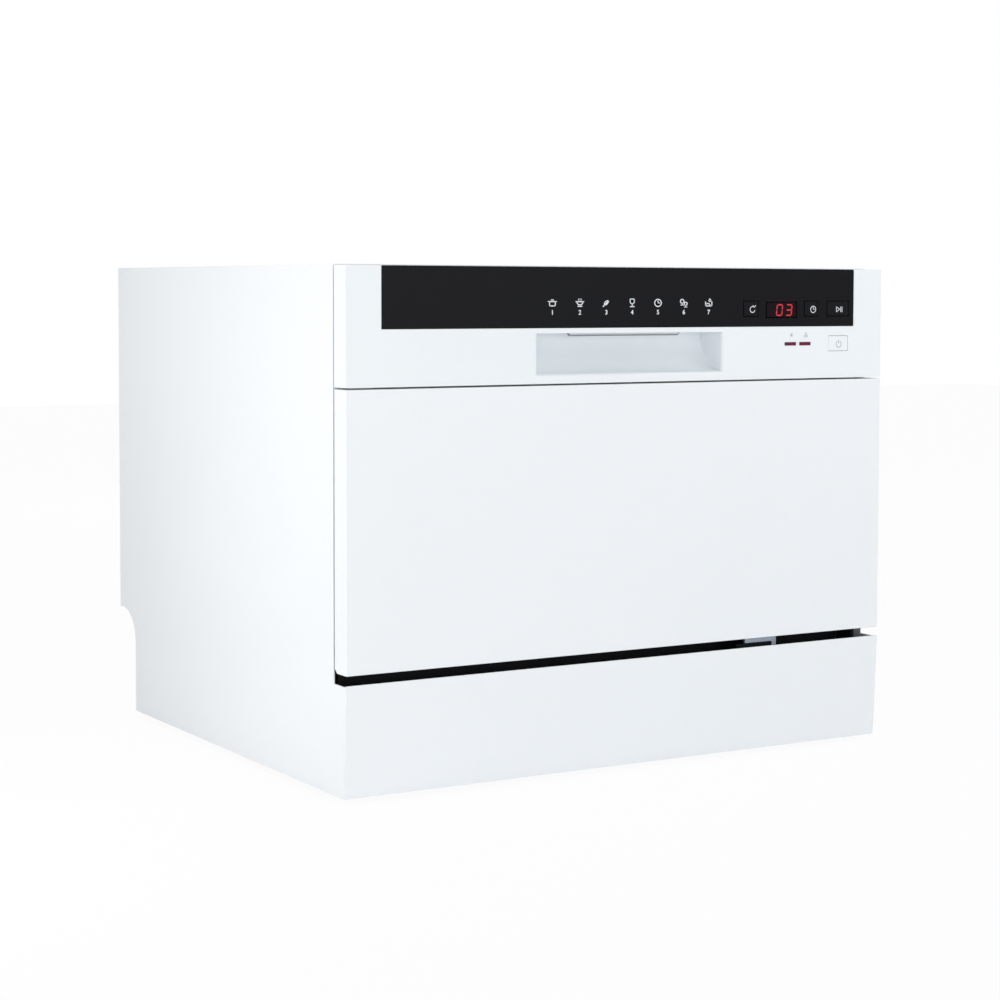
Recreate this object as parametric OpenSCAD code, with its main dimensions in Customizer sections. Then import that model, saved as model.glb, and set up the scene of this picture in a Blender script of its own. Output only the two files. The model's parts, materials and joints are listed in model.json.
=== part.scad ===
// Countertop dishwasher: cabinet, tub, drop-down door, sliding rack and the works under the tub.
// Millimetres, Z up, X to the right, the door faces -Y. Origin: bottom centre of the machine.

/* [Overall size] */
// Width of the machine
body_w = 550; // [540:2:580]
// Depth of the machine with its door shut
body_d = 500; // [496:2:540]
// Height of the machine
body_h = 438; // [434:1:460]
// Height of the feet below the base
foot_h = 5; // [4:0.5:8]
// Thickness of the painted sheet steel
sheet = 1.2; // [0.8:0.1:1.6]
// Setback of the rear panel
rear_in = 2.5; // [2:0.25:4]

/* [Kick plate] */
// Height of the kick plate
kick_h = 93; // [88:1:96]
// Setback of the kick plate at its foot
kick_lean = 4.5; // [0:0.5:8]
// Open gap between the kick plate and the door
kick_gap = 8; // [8:0.5:12]

/* [Door] */
// Thickness of the outer door
door_t = 21; // [20:0.5:23]
// Gap between the outer door and the cabinet
door_gap = 2; // [1.5:0.25:3]
// Height of the control panel
panel_h = 98.5; // [95:0.5:104]
// Step from the top of the machine down to the control panel
panel_step = 1; // [0.5:0.25:3]
// Seam between the control panel and the outer door
seam = 1.5; // [1:0.25:2.5]
// Wall of the moulded control panel
panel_t = 2.5; // [2:0.1:3]
// Depth of the inner door behind the outer door
inner_d = 22.5; // [20:0.5:24]
// Sheet of the stainless inner door
inner_t = 0.8; // [0.6:0.1:1.2]

/* [Hinge] */
// Depth of the hinge pin behind the door's face
hinge_in = 14; // [13:0.25:14.5]
// Height of the hinge pin above the door's lower edge
hinge_up = 8; // [7:0.25:8.25]
// Radius of the hinge pin
hinge_pin_r = 4; // [3:0.25:4.5]
// Radial clearance of pins that turn
run = 0.05; // [0.02:0.01:0.1]
// Thickness of the hinge arms and brackets
hinge_plate = 3; // [2.5:0.25:3.25]

/* [Finger recess and handle] */
// Width of the finger recess
recess_w = 191; // [170:1:210]
// Radius of the recess's round floor
recess_r = 34.5; // [32:0.5:36]
// Top of the recess below the top of the control panel
recess_down = 56; // [55:0.5:58]
// Rounding of the finger recess's rim
recess_soft = 3; // [1:0.25:3.5]
// Width of the handle lip
lip_w = 114; // [90:1:130]
// Depth of the handle lip behind the panel's face
lip_in = 12.7; // [11:0.1:13.5]
// Height of the lip that shows below the recess's ceiling
lip_show = 3; // [2:0.5:5]

/* [Controls] */
// Width of the black fascia
fascia_w = 486; // [470:1:500]
// Height of the black fascia
fascia_h = 51.7; // [50:0.1:54]
// Thickness of the black fascia
fascia_t = 1.6; // [1.2:0.1:1.8]
// Step from the panel's face back to the fascia's face
fascia_in = 0.4; // [0.2:0.1:0.6]
// Middle of the fascia buttons below the panel's top
button_down = 35.6; // [33:0.1:38]
// Height of the fascia buttons
button_h = 12.7; // [10:0.1:14]
// Middle of the programme button
program_x = 126.6; // [122:0.1:128]
// Width of the programme button
program_w = 15.4; // [12:0.1:17]
// Middle of the delay button
delay_x = 194; // [192:0.1:196]
// Width of the delay button
delay_w = 14.6; // [12:0.1:15]
// Middle of the start button
start_x = 224.7; // [222:0.1:226]
// Width of the start button
start_w = 24.2; // [20:0.1:26]
// Middle of the display window
display_x = 160.6; // [158:0.1:162]
// Width of the display window
display_w = 35.3; // [30:0.1:38]
// Height of the display window
display_h = 15.5; // [13:0.1:17]
// Middle of the power button
power_x = 225.1; // [222:0.1:228]
// Middle of the power button and the lamps below the panel's top
power_down = 67.2; // [64:0.1:70]
// Width of the power button
power_w = 22.3; // [18:0.1:25]
// Height of the power button
power_h = 13.6; // [11:0.1:15]
// Middles of the two indicator lamps
lamp_x = [170.6, 187.2];
// Width of an indicator lamp
lamp_w = 13.1; // [10:0.1:14]
// Height of an indicator lamp
lamp_h = 3.2; // [2:0.1:4]
// Travel of a button
press = 1.5; // [1:0.1:2]
// Gap round a button
button_gap = 0.3; // [0.2:0.05:0.5]

/* [Hose recess] */
// Depth of the hose recess at the back
notch_d = 40; // [36:1:44]
// Height of the hose recess above the floor
notch_top = 103.5; // [100:0.5:110]
// Radius of the hose recess's inner corner
notch_r = 32; // [20:1:36]
// Height of the water fittings
fitting_up = 45; // [40:1:55]
// Distance of the water inlet from the left side
inlet_in = 70; // [66:1:80]
// Distance of the drain spigot from the left side
drain_in = 130; // [120:1:140]
// Distance of the cable gland from the right side
gland_in = 60; // [50:1:75]
// Outer radius of the inlet's threaded end
inlet_r = 13.2; // [13:0.05:13.4]
// Outer radius of the drain spigot
drain_r = 9.5; // [9:0.1:10.5]
// Radius of the cable hole
gland_r = 3.6; // [3:0.1:4]

/* [Tub] */
// Space between the tub and the sides of the machine
side_space = 31; // [29:0.5:35]
// Space between the tub and the back of the machine
tub_back_gap = 62; // [58:1:70]
// Sheet of the tub
tub_t = 1; // [0.6:0.1:1.2]
// Radius of the tub's upper corners
tub_r = 22; // [15:1:30]
// Thickness of the door gasket
gasket_t = 6.2; // [5:0.1:8]
// Width of the door gasket
gasket_w = 6; // [5:0.5:7]
// Wall of the base tray
tray_t = 2.5; // [2:0.1:3]
// Height of the base tray
tray_h = 35; // [30:1:45]

/* [Works under the tub] */
// Radius of the sump
sump_r = 80; // [74:1:84]
// Depth of the sump
sump_h = 58; // [50:1:62]
// Radius of the spray pillar
pillar_r = 13; // [11:0.5:14]
// Reach of the spray arm
arm_reach = 178; // [160:1:180]
// Radius of the filter cup
cup_r = 24; // [20:0.5:26]
// Radius of the heater ring
heater_r = 122; // [112:1:130]
// Radius of the wash pump's motor
motor_r = 40; // [34:1:42]
// Radius of the salt cap
salt_r = 32; // [28:1:34]
// Length of the air breather
breather_l = 180; // [150:1:200]
// Height of the air breather
breather_h = 190; // [160:1:200]

/* [Rack] */
// Space between the rack's floor and the tub's sides
rack_side = 22; // [20:0.5:28]
// Depth of the rack's floor
rack_d = 346; // [330:1:350]
// Height of the rack's walls
rack_h = 130; // [110:1:140]
// Lean of the rack's side walls
rack_lean = 9; // [4:0.5:10]
// Radius of the rack's frame wire
frame_r = 2.5; // [2:0.1:3]
// Radius of the rack's thin wire
wire_r = 1.8; // [1.5:0.1:2]
// Radius of the rack's wheels
wheel_r = 11; // [9:0.5:12]
// Height of the plate tines
tine_h = 62; // [40:1:70]
// Spacing of the plate tines
tine_step = 34; // [26:1:36]
// Width of the folding cup shelf
shelf_w = 78; // [60:1:90]
// Length of the folding cup shelf
shelf_l = 128; // [100:1:132]
// Width of the cutlery basket
basket_w = 66; // [56:1:68]
// Length of the cutlery basket
basket_l = 150; // [120:1:160]
// Height of the cutlery basket without its handle
basket_h = 100; // [80:1:110]

/* [Hidden] */
$fn = 48;
slack = 0.3;          // gap between a moving piece and its seat
eps = 0.01;           // overlap that joins two shapes of one piece

// planes of the machine
half_w = body_w / 2;
front_y = -body_d / 2;
back_y = body_d / 2;
cover_z = body_h - sheet;
kick_top = foot_h + kick_h;
door_z = kick_top + kick_gap;
panel_top = body_h - panel_step;
panel_z = panel_top - panel_h;
door_top = panel_z - seam;
door_y = front_y + door_t;
cab_y = door_y + door_gap;
inner_y = door_y + inner_d;
recess_y = back_y - notch_d;
rear_y = back_y - rear_in;
inlet_x = -half_w + inlet_in;
drain_x = -half_w + drain_in;
gland_x = half_w - gland_in;
hinge_y = front_y + hinge_in;
hinge_z = door_z + hinge_up;

// planes across the hinge side: inner door, hinge arm, hinge bracket, reveal of the side panel
inner_x = half_w - 13;
arm_x = inner_x + slack;
bracket_x = arm_x + hinge_plate + 0.5;
reveal_x = half_w - 9;
reveal_z = hinge_z + 16;
lintel_z = body_h - 7;
inner_top = lintel_z - 3;
inner_z = door_z + 4;

// latch, from the lintel down to the tub
hook_z = inner_top - 6;
catch_z = hook_z - 5;
catch_t = 4;

// tub
tub_x = half_w - side_space;
flange_y = inner_y + slack + gasket_t;
tub_y0 = flange_y + tub_t;
tub_y1 = back_y - tub_back_gap;
tub_z = hinge_z + 2;
tub_top = catch_z - catch_t - gasket_w - 1;
tray_x = half_w - sheet - slack;
tray_z = foot_h + tray_t;
arm_y = (tub_y0 + tub_y1) / 2;
cup_x = pillar_r + cup_r + 13;
plate_t = 1.5;
plate_r = sump_r + 14;
heater_wire_r = 3.5;
heater_z = tub_z + heater_wire_r + 3;
arm_z = tub_z + 16;
drain_pump_y = arm_y + sump_r + 3;
drain_pump_z = tub_z - tub_t - 34;
salt_x = -165;
salt_y = arm_y - 105;
breather_x = -tub_x - 14;
breather_y0 = arm_y - 54;
breather_y1 = breather_y0 + breather_l;
breather_port_y = breather_y1 - 60;
breather_z0 = tub_top - 36 - breather_h;

// rack
rail_h = 4;
wheel_w = 8;
wheel_x = tub_x - 2 - wheel_w;
axle_r = 3;
rack_z = arm_z + 26;
rack_x = tub_x - rack_side;
rack_y0 = inner_y + 30.5;
rack_y1 = rack_y0 + rack_d;
axle_z = rack_z - 3;
rail_z = axle_z - wheel_r - slack;
wheel_ys = [rack_y0 + 76, rack_y1 - 50];
rim_z = rack_z + rack_h;
rim_grow = rack_lean;
cross_ys = [for (i = [1:4]) rack_y0 + i * rack_d / 5];
tine_ys = [cross_ys[1], cross_ys[2]];
tine_x0 = -rack_x + 58;
tine_n = 8;
shelf_z = rack_z + 95;
shelf_x = -(rack_x + rim_grow * 95 / rack_h);
shelf_y0 = rack_y0 + 30;
basket_x1 = rack_x - wire_r - 1;
basket_x0 = basket_x1 - basket_w;
basket_y0 = rack_y0 + frame_r + 3;
basket_z = rack_z + frame_r + slack;

// control panel
control_z = panel_top - button_down;
power_z = panel_top - power_down;
fascia_z = panel_top - fascia_h;
fascia_y = front_y + fascia_in;
rebate_y = fascia_y + fascia_t;
panel_back_y = rebate_y + panel_t;
board_y = front_y + 13;
recess_top = panel_top - recess_down;
recess_x = recess_w / 2;
lip_x = lip_w / 2;
lip_y = front_y + lip_in;
lip_t = 2.5;
lever_y = lip_y - 3.7;
lever_z = recess_top + 15;
lever_r = 2.5;
hook_y = front_y + 18;
hook_ratio = 0.8;
contact_z = lever_z + (hook_z - lever_z) * hook_ratio / (1 + hook_ratio);

// dispenser on the inner door
disp_z0 = hinge_z + 84;
disp_h = 130;
disp_x0 = -50;
disp_x1 = 66;
disp_t = 2;
lid_w = 56;
lid_h = 60;
lid_x0 = disp_x0 + 4;
cup_depth = 17;
rinse_x = 38;
rinse_z = disp_z0 + 35;
rinse_r = 17;
rinse_stem_r = 10;

module box(a, b) {
    translate(a) cube(b - a);
}

module rect(a, b) {
    translate(a) square(b - a);
}

// rounded rectangle from corner a to corner b
module soft_rect(a, b, r) {
    rect([a.x + r, a.y], [b.x - r, b.y]);
    rect([a.x, a.y + r], [b.x, b.y - r]);
    for (x = [a.x + r, b.x - r], y = [a.y + r, b.y - r]) translate([x, y]) circle(r);
}

// extrudes a drawing of (y, z) along X
module along_x(x0, x1) {
    translate([x0, 0, 0]) rotate([90, 0, 90]) linear_extrude(x1 - x0) children();
}

// extrudes a drawing of (x, z) along Y
module along_y(y0, y1) {
    translate([0, y1, 0]) rotate([90, 0, 0]) linear_extrude(y1 - y0) children();
}

module up(z0, z1) {
    translate([0, 0, z0]) linear_extrude(z1 - z0) children();
}

module cyl_x(x0, x1, y, z, r) {
    translate([x0, y, z]) rotate([0, 90, 0]) cylinder(h = x1 - x0, r = r);
}

module cyl_y(y0, y1, x, z, r) {
    translate([x, y1, z]) rotate([90, 0, 0]) cylinder(h = y1 - y0, r = r);
}

module cyl_z(z0, z1, x, y, r) {
    translate([x, y, z0]) cylinder(h = z1 - z0, r = r);
}

// straight round rod from a to b
module rod(a, b, r) {
    d = b - a;
    translate(a) rotate([0, acos(d.z / norm(d)), atan2(d.y, d.x)]) cylinder(h = norm(d), r = r);
}

// round hose through points that turn square corners, with quarter bends
module hose(points, r, bend) {
    n = len(points) - 1;
    for (i = [0:n - 1]) {
        u = (points[i + 1] - points[i]) / norm(points[i + 1] - points[i]);
        rod(points[i] + (i > 0 ? bend : 0) * u, points[i + 1] - (i < n - 1 ? bend : 0) * u, r);
        if (i < n - 1) {
            v = (points[i + 2] - points[i + 1]) / norm(points[i + 2] - points[i + 1]);
            w = cross(-v, u);
            c = points[i + 1] + bend * (v - u);
            multmatrix([[-v.x, u.x, w.x, c.x], [-v.y, u.y, w.y, c.y], [-v.z, u.z, w.z, c.z], [0, 0, 0, 1]])
                rotate_extrude(angle = 90) translate([bend, 0]) circle(r);
        }
    }
}

module side_copies() {
    children();
    mirror([1, 0, 0]) children();
}

// ---- cabinet ----

rear_lap = 32;
rear_hole_r = 2.1;
rear_screws = concat(
    [for (x = [-half_w + 10, -90, 90, half_w - 10], z = [notch_top + 20, cover_z - 12]) [x, z]],
    [for (x = [-half_w + 10, half_w - 10]) [x, (notch_top + cover_z) / 2]]);

module rear_holes() {
    for (p = rear_screws) cyl_y(rear_y - 5, rear_y + 5, p.x, p.y, rear_hole_r);
}

// the space of the hose recess, seen from the side
module recess_outline() {
    rect([recess_y, foot_h - 1], [back_y + 1, notch_top - notch_r]);
    rect([recess_y + notch_r, foot_h - 1], [back_y + 1, notch_top]);
    translate([recess_y + notch_r, notch_top - notch_r]) circle(notch_r);
}

module side_panel() {
    along_x(half_w - sheet, half_w) difference() {
        rect([cab_y, foot_h], [back_y, cover_z]);
        recess_outline();
    }
    // return at the front edge, then the reveal beside the door
    box([reveal_x, cab_y, reveal_z], [half_w - eps, cab_y + sheet, cover_z]);
    box([reveal_x, cab_y, reveal_z], [reveal_x + sheet, flange_y, lintel_z]);
    // flange under the top cover
    box([half_w - 14, flange_y + 20, cover_z - sheet], [half_w - eps, rear_y - sheet, cover_z]);
    // flange behind the rear panel
    difference() {
        box([half_w - 14, rear_y - 2 * sheet, notch_top + rear_lap + 2],
            [half_w - eps, rear_y - sheet, cover_z]);
        rear_holes();
    }
}

module side_panel_right() {
    color("white") side_panel();
}

module side_panel_left() {
    color("white") mirror([1, 0, 0]) side_panel();
}

module top_cover() {
    color("white") {
        box([-half_w, cab_y, cover_z], [half_w, back_y, body_h]);
        box([-reveal_x + slack, cab_y, lintel_z], [reveal_x - slack, cab_y + sheet, cover_z + eps]);
        box([-reveal_x + slack, cab_y, lintel_z], [reveal_x - slack, flange_y, lintel_z + sheet]);
        // flange behind the rear panel
        difference() {
            box([-half_w + 16, rear_y - 2 * sheet, cover_z - 24],
                [half_w - 16, rear_y - sheet, cover_z + eps]);
            rear_holes();
        }
    }
}

module rear_panel() {
    color("gainsboro") difference() {
        box([-half_w + sheet, rear_y - sheet, notch_top + sheet], [half_w - sheet, rear_y, cover_z]);
        rear_holes();
    }
}

// sheet bent round the hose recess, with a flange behind the rear panel
module recess_panel() {
    color("gainsboro") difference() {
        along_x(-half_w + sheet, half_w - sheet) {
            rect([rear_y - 2 * sheet, notch_top], [rear_y - sheet, notch_top + rear_lap]);
            rect([recess_y + notch_r, notch_top], [rear_y, notch_top + sheet]);
            rect([recess_y - sheet, foot_h], [recess_y, notch_top - notch_r]);
            intersection() {
                translate([recess_y + notch_r, notch_top - notch_r]) difference() {
                    circle(notch_r + sheet);
                    circle(notch_r);
                }
                rect([recess_y - sheet, notch_top - notch_r], [recess_y + notch_r, notch_top + sheet]);
            }
        }
        rear_holes();
        cyl_y(recess_y - 5, recess_y + 5, inlet_x, fitting_up, inlet_r + 1.8);
        cyl_y(recess_y - 5, recess_y + 5, drain_x, fitting_up, drain_r + 1.8);
        cyl_y(recess_y - 5, recess_y + 5, gland_x, fitting_up, gland_r + 4.2);
    }
}

post_w = 16;
post_ys = [flange_y + 15, tub_y1 - post_w - 8];

module base_tray() {
    color("dimgray") {
        difference() {
            box([-tray_x, cab_y, foot_h], [tray_x, recess_y - sheet, foot_h + tray_h]);
            box([-tray_x + tray_t, cab_y + tray_t, tray_z],
                [tray_x - tray_t, recess_y - sheet - tray_t, foot_h + tray_h + 1]);
            for (x = [inlet_x, drain_x])
                cyl_y(recess_y - 9, recess_y, x, fitting_up, inlet_r + 6);
            cyl_y(recess_y - 9, recess_y, gland_x, fitting_up, inlet_r + 4);
        }
        // front wall that carries the tub's sill
        box([-reveal_x, flange_y, tray_z - eps], [reveal_x, flange_y + tray_t, tub_z - tub_t]);
        // posts that carry the tub
        for (y = post_ys) side_copies()
            box([tub_x - post_w - 3, y, tray_z - eps], [tub_x - 3, y + post_w, tub_z - tub_t]);
        // ribs across the tray's floor
        for (y = [-160, 0, 150])
            box([-tray_x + 1, y, tray_z - eps], [tray_x - 1, y + tray_t, tray_z + 3]);
    }
}

module rubber_feet() {
    color("dimgray") for (x = [-half_w + 40, half_w - 40], y = [cab_y + 30, recess_y - 40])
        translate([x, y, 0]) cylinder(h = foot_h, r1 = 14, r2 = 16);
}

module kick_plate() {
    color("white") {
        along_x(-half_w, half_w) polygon([
            [front_y, kick_top], [front_y + kick_lean, foot_h],
            [front_y + kick_lean + sheet, foot_h], [front_y + sheet, kick_top]]);
        side_copies() along_x(half_w - sheet, half_w) polygon([
            [front_y + eps, kick_top - 1], [front_y + kick_lean + eps, foot_h],
            [cab_y, foot_h], [cab_y, kick_top - 1]]);
        // foot flange back to the base tray
        box([-half_w + eps, front_y + kick_lean + eps, foot_h], [half_w - eps, cab_y, foot_h + sheet]);
    }
}

// light grey guide that stands in the gap above the kick plate
module kick_bracket() {
    guide_w = 40;
    guide_x = half_w - 127 - guide_w / 2;
    color("silver") {
        box([guide_x, cab_y - 3, foot_h + sheet], [guide_x + guide_w, cab_y, kick_top]);
        for (x = [guide_x, guide_x + guide_w - 3])
            box([x, cab_y - 14, foot_h + sheet], [x + 3, cab_y - 3 + eps, kick_top - 12]);
    }
}

module hinge_bracket() {
    top_z = hinge_z + 8;
    heel_y = cab_y + 26;
    difference() {
        union() {
            cyl_x(bracket_x, bracket_x + hinge_plate, hinge_y, hinge_z, 8);
            box([bracket_x, hinge_y, hinge_z - 8], [bracket_x + hinge_plate, heel_y, top_z]);
            box([bracket_x, cab_y + 4, tray_z], [bracket_x + hinge_plate, heel_y, top_z]);
            box([bracket_x - 16, cab_y + 4, tray_z], [bracket_x + 1, heel_y, tray_z + hinge_plate]);
        }
        cyl_z(tray_z - 1, tray_z + hinge_plate + 1, bracket_x - 8, cab_y + 15, 2.2);
    }
    // pin that carries the door
    cyl_x(arm_x - 1.2, bracket_x + 1, hinge_y, hinge_z, hinge_pin_r);
}

module hinge_brackets() {
    color("darkgray") side_copies() hinge_bracket();
}

// ---- tub ----

module tub_outline(g) {
    rect([-tub_x - g, tub_z], [tub_x + g, tub_top - tub_r]);
    rect([-tub_x + tub_r, tub_z], [tub_x - tub_r, tub_top + g]);
    for (x = [-tub_x + tub_r, tub_x - tub_r]) translate([x, tub_top - tub_r]) circle(tub_r + g);
}

module tub_wrapper() {
    color("silver") {
        along_y(flange_y, tub_y1) difference() {
            tub_outline(tub_t);
            translate([0, -1]) tub_outline(0);
            rect([-tub_x, tub_z - 2], [tub_x, tub_z + 1]);
        }
        along_y(flange_y, tub_y0) difference() {
            rect([-reveal_x, tub_z], [reveal_x, lintel_z]);
            tub_outline(0);
        }
    }
}

module tub_back() {
    color("silver") along_y(tub_y1, tub_y1 + tub_t) tub_outline(tub_t);
}

module tub_floor() {
    color("silver") difference() {
        box([-tub_x - tub_t, flange_y, tub_z - tub_t], [tub_x + tub_t, tub_y1 + tub_t, tub_z]);
        cyl_z(tub_z - 5, tub_z + 5, 0, arm_y, sump_r);
        cyl_z(tub_z - 5, tub_z + 5, salt_x, salt_y, salt_r - 4);
    }
}

module door_gasket() {
    color("dimgray") along_y(flange_y - gasket_t, flange_y) difference() {
        rect([-tub_x - 2 - gasket_w, tub_z], [tub_x + 2 + gasket_w, tub_top + 1 + gasket_w]);
        rect([-tub_x - 2, tub_z - 1], [tub_x + 2, tub_top + 1]);
    }
}

module rack_rails() {
    color("gray") side_copies() {
        box([tub_x - 13, tub_y0 + 1, rail_z - rail_h], [tub_x - slack, tub_y1 - 8, rail_z]);
        box([tub_x - 2, tub_y0 + 1, rail_z - eps], [tub_x - slack, tub_y1 - 8, rail_z + 3]);
    }
}

module door_catch() {
    color("silver") difference() {
        union() {
            box([-14, flange_y - 2, catch_z - catch_t + 0.5], [14, flange_y, lintel_z]);
            box([-5, inner_y - 14.5, catch_z - catch_t], [5, flange_y - 1, catch_z]);
        }
        box([-2.5, inner_y - 12, catch_z - 6], [2.5, inner_y - 5, catch_z + 2]);
    }
}

// ---- works under the tub ----

module sump() {
    color("dimgray") {
        difference() {
            union() {
                cyl_z(tub_z - tub_t - sump_h, tub_z - tub_t, 0, arm_y, sump_r + 3);
                cyl_z(tub_z - tub_t - 4, tub_z - tub_t, 0, arm_y, sump_r + 10);
            }
            cyl_z(tub_z - tub_t - sump_h + 3, tub_z, 0, arm_y, sump_r);
        }
        // pillar that feeds and carries the spray arm
        cyl_z(tub_z - tub_t - sump_h + 1, arm_z - 1, 0, arm_y, pillar_r);
        cyl_z(arm_z - 2, arm_z + 9, 0, arm_y, 8);
        // seat of the filter cup
        difference() {
            cyl_z(tub_z - tub_t - sump_h + 1, tub_z - 40, cup_x, arm_y, cup_r - 4);
            cyl_z(tub_z - tub_t - sump_h + 3, tub_z, cup_x, arm_y, cup_r - 7);
        }
    }
}

module filter_plate() {
    color("silver") difference() {
        cyl_z(tub_z, tub_z + plate_t, 0, arm_y, plate_r);
        cyl_z(tub_z - 1, tub_z + 3, 0, arm_y, pillar_r + slack);
        cyl_z(tub_z - 1, tub_z + 3, cup_x, arm_y, cup_r + slack);
        for (r = [40, 52, 64], a = [60:20:300])
            rotate(a) translate([r, 0, 0]) cyl_z(tub_z - 1, tub_z + 3, 0, 0, 3);
    }
}

module filter_cup() {
    color("gray") {
        difference() {
            cyl_z(tub_z - 40 + slack, tub_z + plate_t + 4, cup_x, arm_y, cup_r);
            cyl_z(tub_z - 38 + slack, tub_z + plate_t + 5, cup_x, arm_y, cup_r - 2);
        }
        cyl_z(tub_z + plate_t + 0.2, tub_z + plate_t + 2, cup_x, arm_y, cup_r - 1);
        box([cup_x - 3, arm_y - cup_r + 2, tub_z + plate_t + 1], [cup_x + 3, arm_y + cup_r - 2, arm_z - 3]);
    }
}

module spray_arm() {
    color("lightgray") difference() {
        union() {
            cyl_z(arm_z, arm_z + 12, 0, arm_y, 20);
            up(arm_z + 1, arm_z + 10) translate([0, arm_y]) {
                soft_rect([-arm_reach, -11], [arm_reach, 11], 10.5);
                rotate(60) soft_rect([-arm_reach * 0.5, -9], [arm_reach * 0.5, 9], 8.5);
            }
        }
        cyl_z(arm_z - 1, arm_z + 10, 0, arm_y, 8 + run);
        for (i = [-5:5]) if (abs(i) > 0)
            translate([0, arm_y, 0]) cyl_z(arm_z + 7, arm_z + 13, i * arm_reach / 6, sign(i) * 3, 1.6);
    }
}

module heater() {
    gap_a = 14;
    color("darkgray") {
        translate([0, arm_y, heater_z]) rotate(90 + gap_a)
            rotate_extrude(angle = 360 - 2 * gap_a, $fn = 96) translate([heater_r, 0]) circle(heater_wire_r);
        // clips on the tub floor
        for (a = [-90, 0, 180]) translate([0, arm_y, 0]) rotate(a)
            box([heater_r - 5, -4, tub_z], [heater_r + 5, 4, heater_z]);
        // ends that go down through the tub floor's grommets
        for (s = [-1, 1]) {
            tip = [s * heater_r * sin(gap_a), arm_y + heater_r * cos(gap_a), heater_z];
            translate(tip) sphere(heater_wire_r);
            rod(tip, [tip.x, tip.y, tub_z], heater_wire_r);
            cyl_z(tub_z, tub_z + 2.5, tip.x, tip.y, 7);
        }
    }
}

module wash_pump() {
    pump_x = -sump_r - 22;
    pump_z = tray_z + motor_r + 8;
    pump_y = arm_y + 70;
    color("dimgray") difference() {
        union() {
        cyl_x(pump_x - 92, pump_x - 20, pump_y, pump_z, motor_r);
        cyl_x(pump_x - 22, pump_x + 2, pump_y, pump_z, motor_r + 4);
        cyl_x(pump_x - 100, pump_x - 90, pump_y, pump_z, 16);
        // feet on the base tray
        for (x = [pump_x - 80, pump_x - 40])
            box([x, pump_y - 22, tray_z], [x + 12, pump_y + 22, pump_z - motor_r + 8]);
        // outlet to the sump
        rod([pump_x, pump_y, pump_z], [-sump_r * 0.7, arm_y + sump_r * 0.7, pump_z], 12);
        }
        cyl_z(0, tub_z, 0, arm_y, sump_r + 3.1);
    }
}

module drain_pump() {
    color("dimgray") difference() {
        union() {
            cyl_y(drain_pump_y + 20, drain_pump_y + 68, 30, drain_pump_z, 24);
            cyl_y(drain_pump_y + slack, drain_pump_y + 22, 30, drain_pump_z, 28);
            cyl_x(-2, 30, drain_pump_y + 12, drain_pump_z, 8);
            box([10, drain_pump_y + 30, tray_z], [50, drain_pump_y + 42, drain_pump_z - 15]);
            box([20, drain_pump_y - 14, drain_pump_z - 8], [40, drain_pump_y + 1, drain_pump_z + 8]);
        }
        cyl_z(0, tub_z, 0, arm_y, sump_r + 3.1);
    }
}

module water_softener() {
    color("white") difference() {
        union() {
            box([salt_x - 38, salt_y - 38, tray_z], [salt_x + 60, salt_y + 60, tub_z - 24]);
            cyl_z(tub_z - 30, tub_z - tub_t, salt_x, salt_y, salt_r + 4);
            cyl_z(tub_z - 3, tub_z + 1, salt_x, salt_y, salt_r - 5);
        }
        cyl_z(tub_z - 26, tub_z + 2, salt_x, salt_y, 20);
    }
}

module salt_cap() {
    color("lightgray") {
        cyl_z(tub_z + 1.3, tub_z + 8, salt_x, salt_y, salt_r);
        cyl_z(tub_z - 14, tub_z + 2, salt_x, salt_y, 20 - run);
        box([salt_x - salt_r + 6, salt_y - 3, tub_z + 7], [salt_x + salt_r - 6, salt_y + 3, arm_z - 3]);
    }
}

module inlet_valve() {
    color("whitesmoke") difference() {
        union() {
            cyl_y(recess_y + 1, recess_y + 12, inlet_x, fitting_up, inlet_r);
            cyl_y(recess_y - 12, recess_y + 1.5, inlet_x, fitting_up, inlet_r + 0.6);
            cyl_y(recess_y, recess_y + 1.5, inlet_x, fitting_up, inlet_r + 5);
            box([inlet_x - 14, recess_y - 40, fitting_up - 14],
                [inlet_x + 14, recess_y - 10, fitting_up + 14]);
            cyl_z(fitting_up + 13, fitting_up + 36, inlet_x, recess_y - 26, 13);
            box([inlet_x - 8, recess_y - 36, tray_z], [inlet_x + 8, recess_y - 18, fitting_up - 13]);
        }
        cyl_y(recess_y - 4, recess_y + 13, inlet_x, fitting_up, 8);
    }
}

module drain_connector() {
    color("gray") difference() {
        union() {
            cyl_y(recess_y + 1, recess_y + 24, drain_x, fitting_up, drain_r);
            cyl_y(recess_y - 14, recess_y + 1.5, drain_x, fitting_up, drain_r + 0.6);
            cyl_y(recess_y, recess_y + 2, drain_x, fitting_up, drain_r + 5);
            cyl_y(recess_y - 14, recess_y - sheet - tray_t - slack, drain_x, fitting_up, drain_r + 4);
        }
        cyl_y(recess_y - 12, recess_y + 25, drain_x, fitting_up, drain_r - 2);
    }
}

module cable_gland() {
    color("dimgray") difference() {
        union() {
            cyl_y(recess_y, recess_y + 10, gland_x, fitting_up, gland_r + 5.5);
            cyl_y(recess_y - 6, recess_y + 1, gland_x, fitting_up, gland_r + 4);
            cyl_y(recess_y - 8, recess_y - sheet - slack, gland_x, fitting_up, gland_r + 6);
        }
        cyl_y(recess_y - 9, recess_y + 11, gland_x, fitting_up, gland_r);
    }
}

module air_breather() {
    color("whitesmoke") {
        box([-half_w + sheet + 4, breather_y0, breather_z0],
            [-tub_x - tub_t, breather_y1, breather_z0 + breather_h]);
        cyl_y(breather_y1 - 1, breather_y1 + 10, breather_x, breather_z0 + 20, 6);
        cyl_z(breather_z0 - 10, breather_z0 + 1, breather_x, breather_port_y, 6);
    }
}

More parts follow.
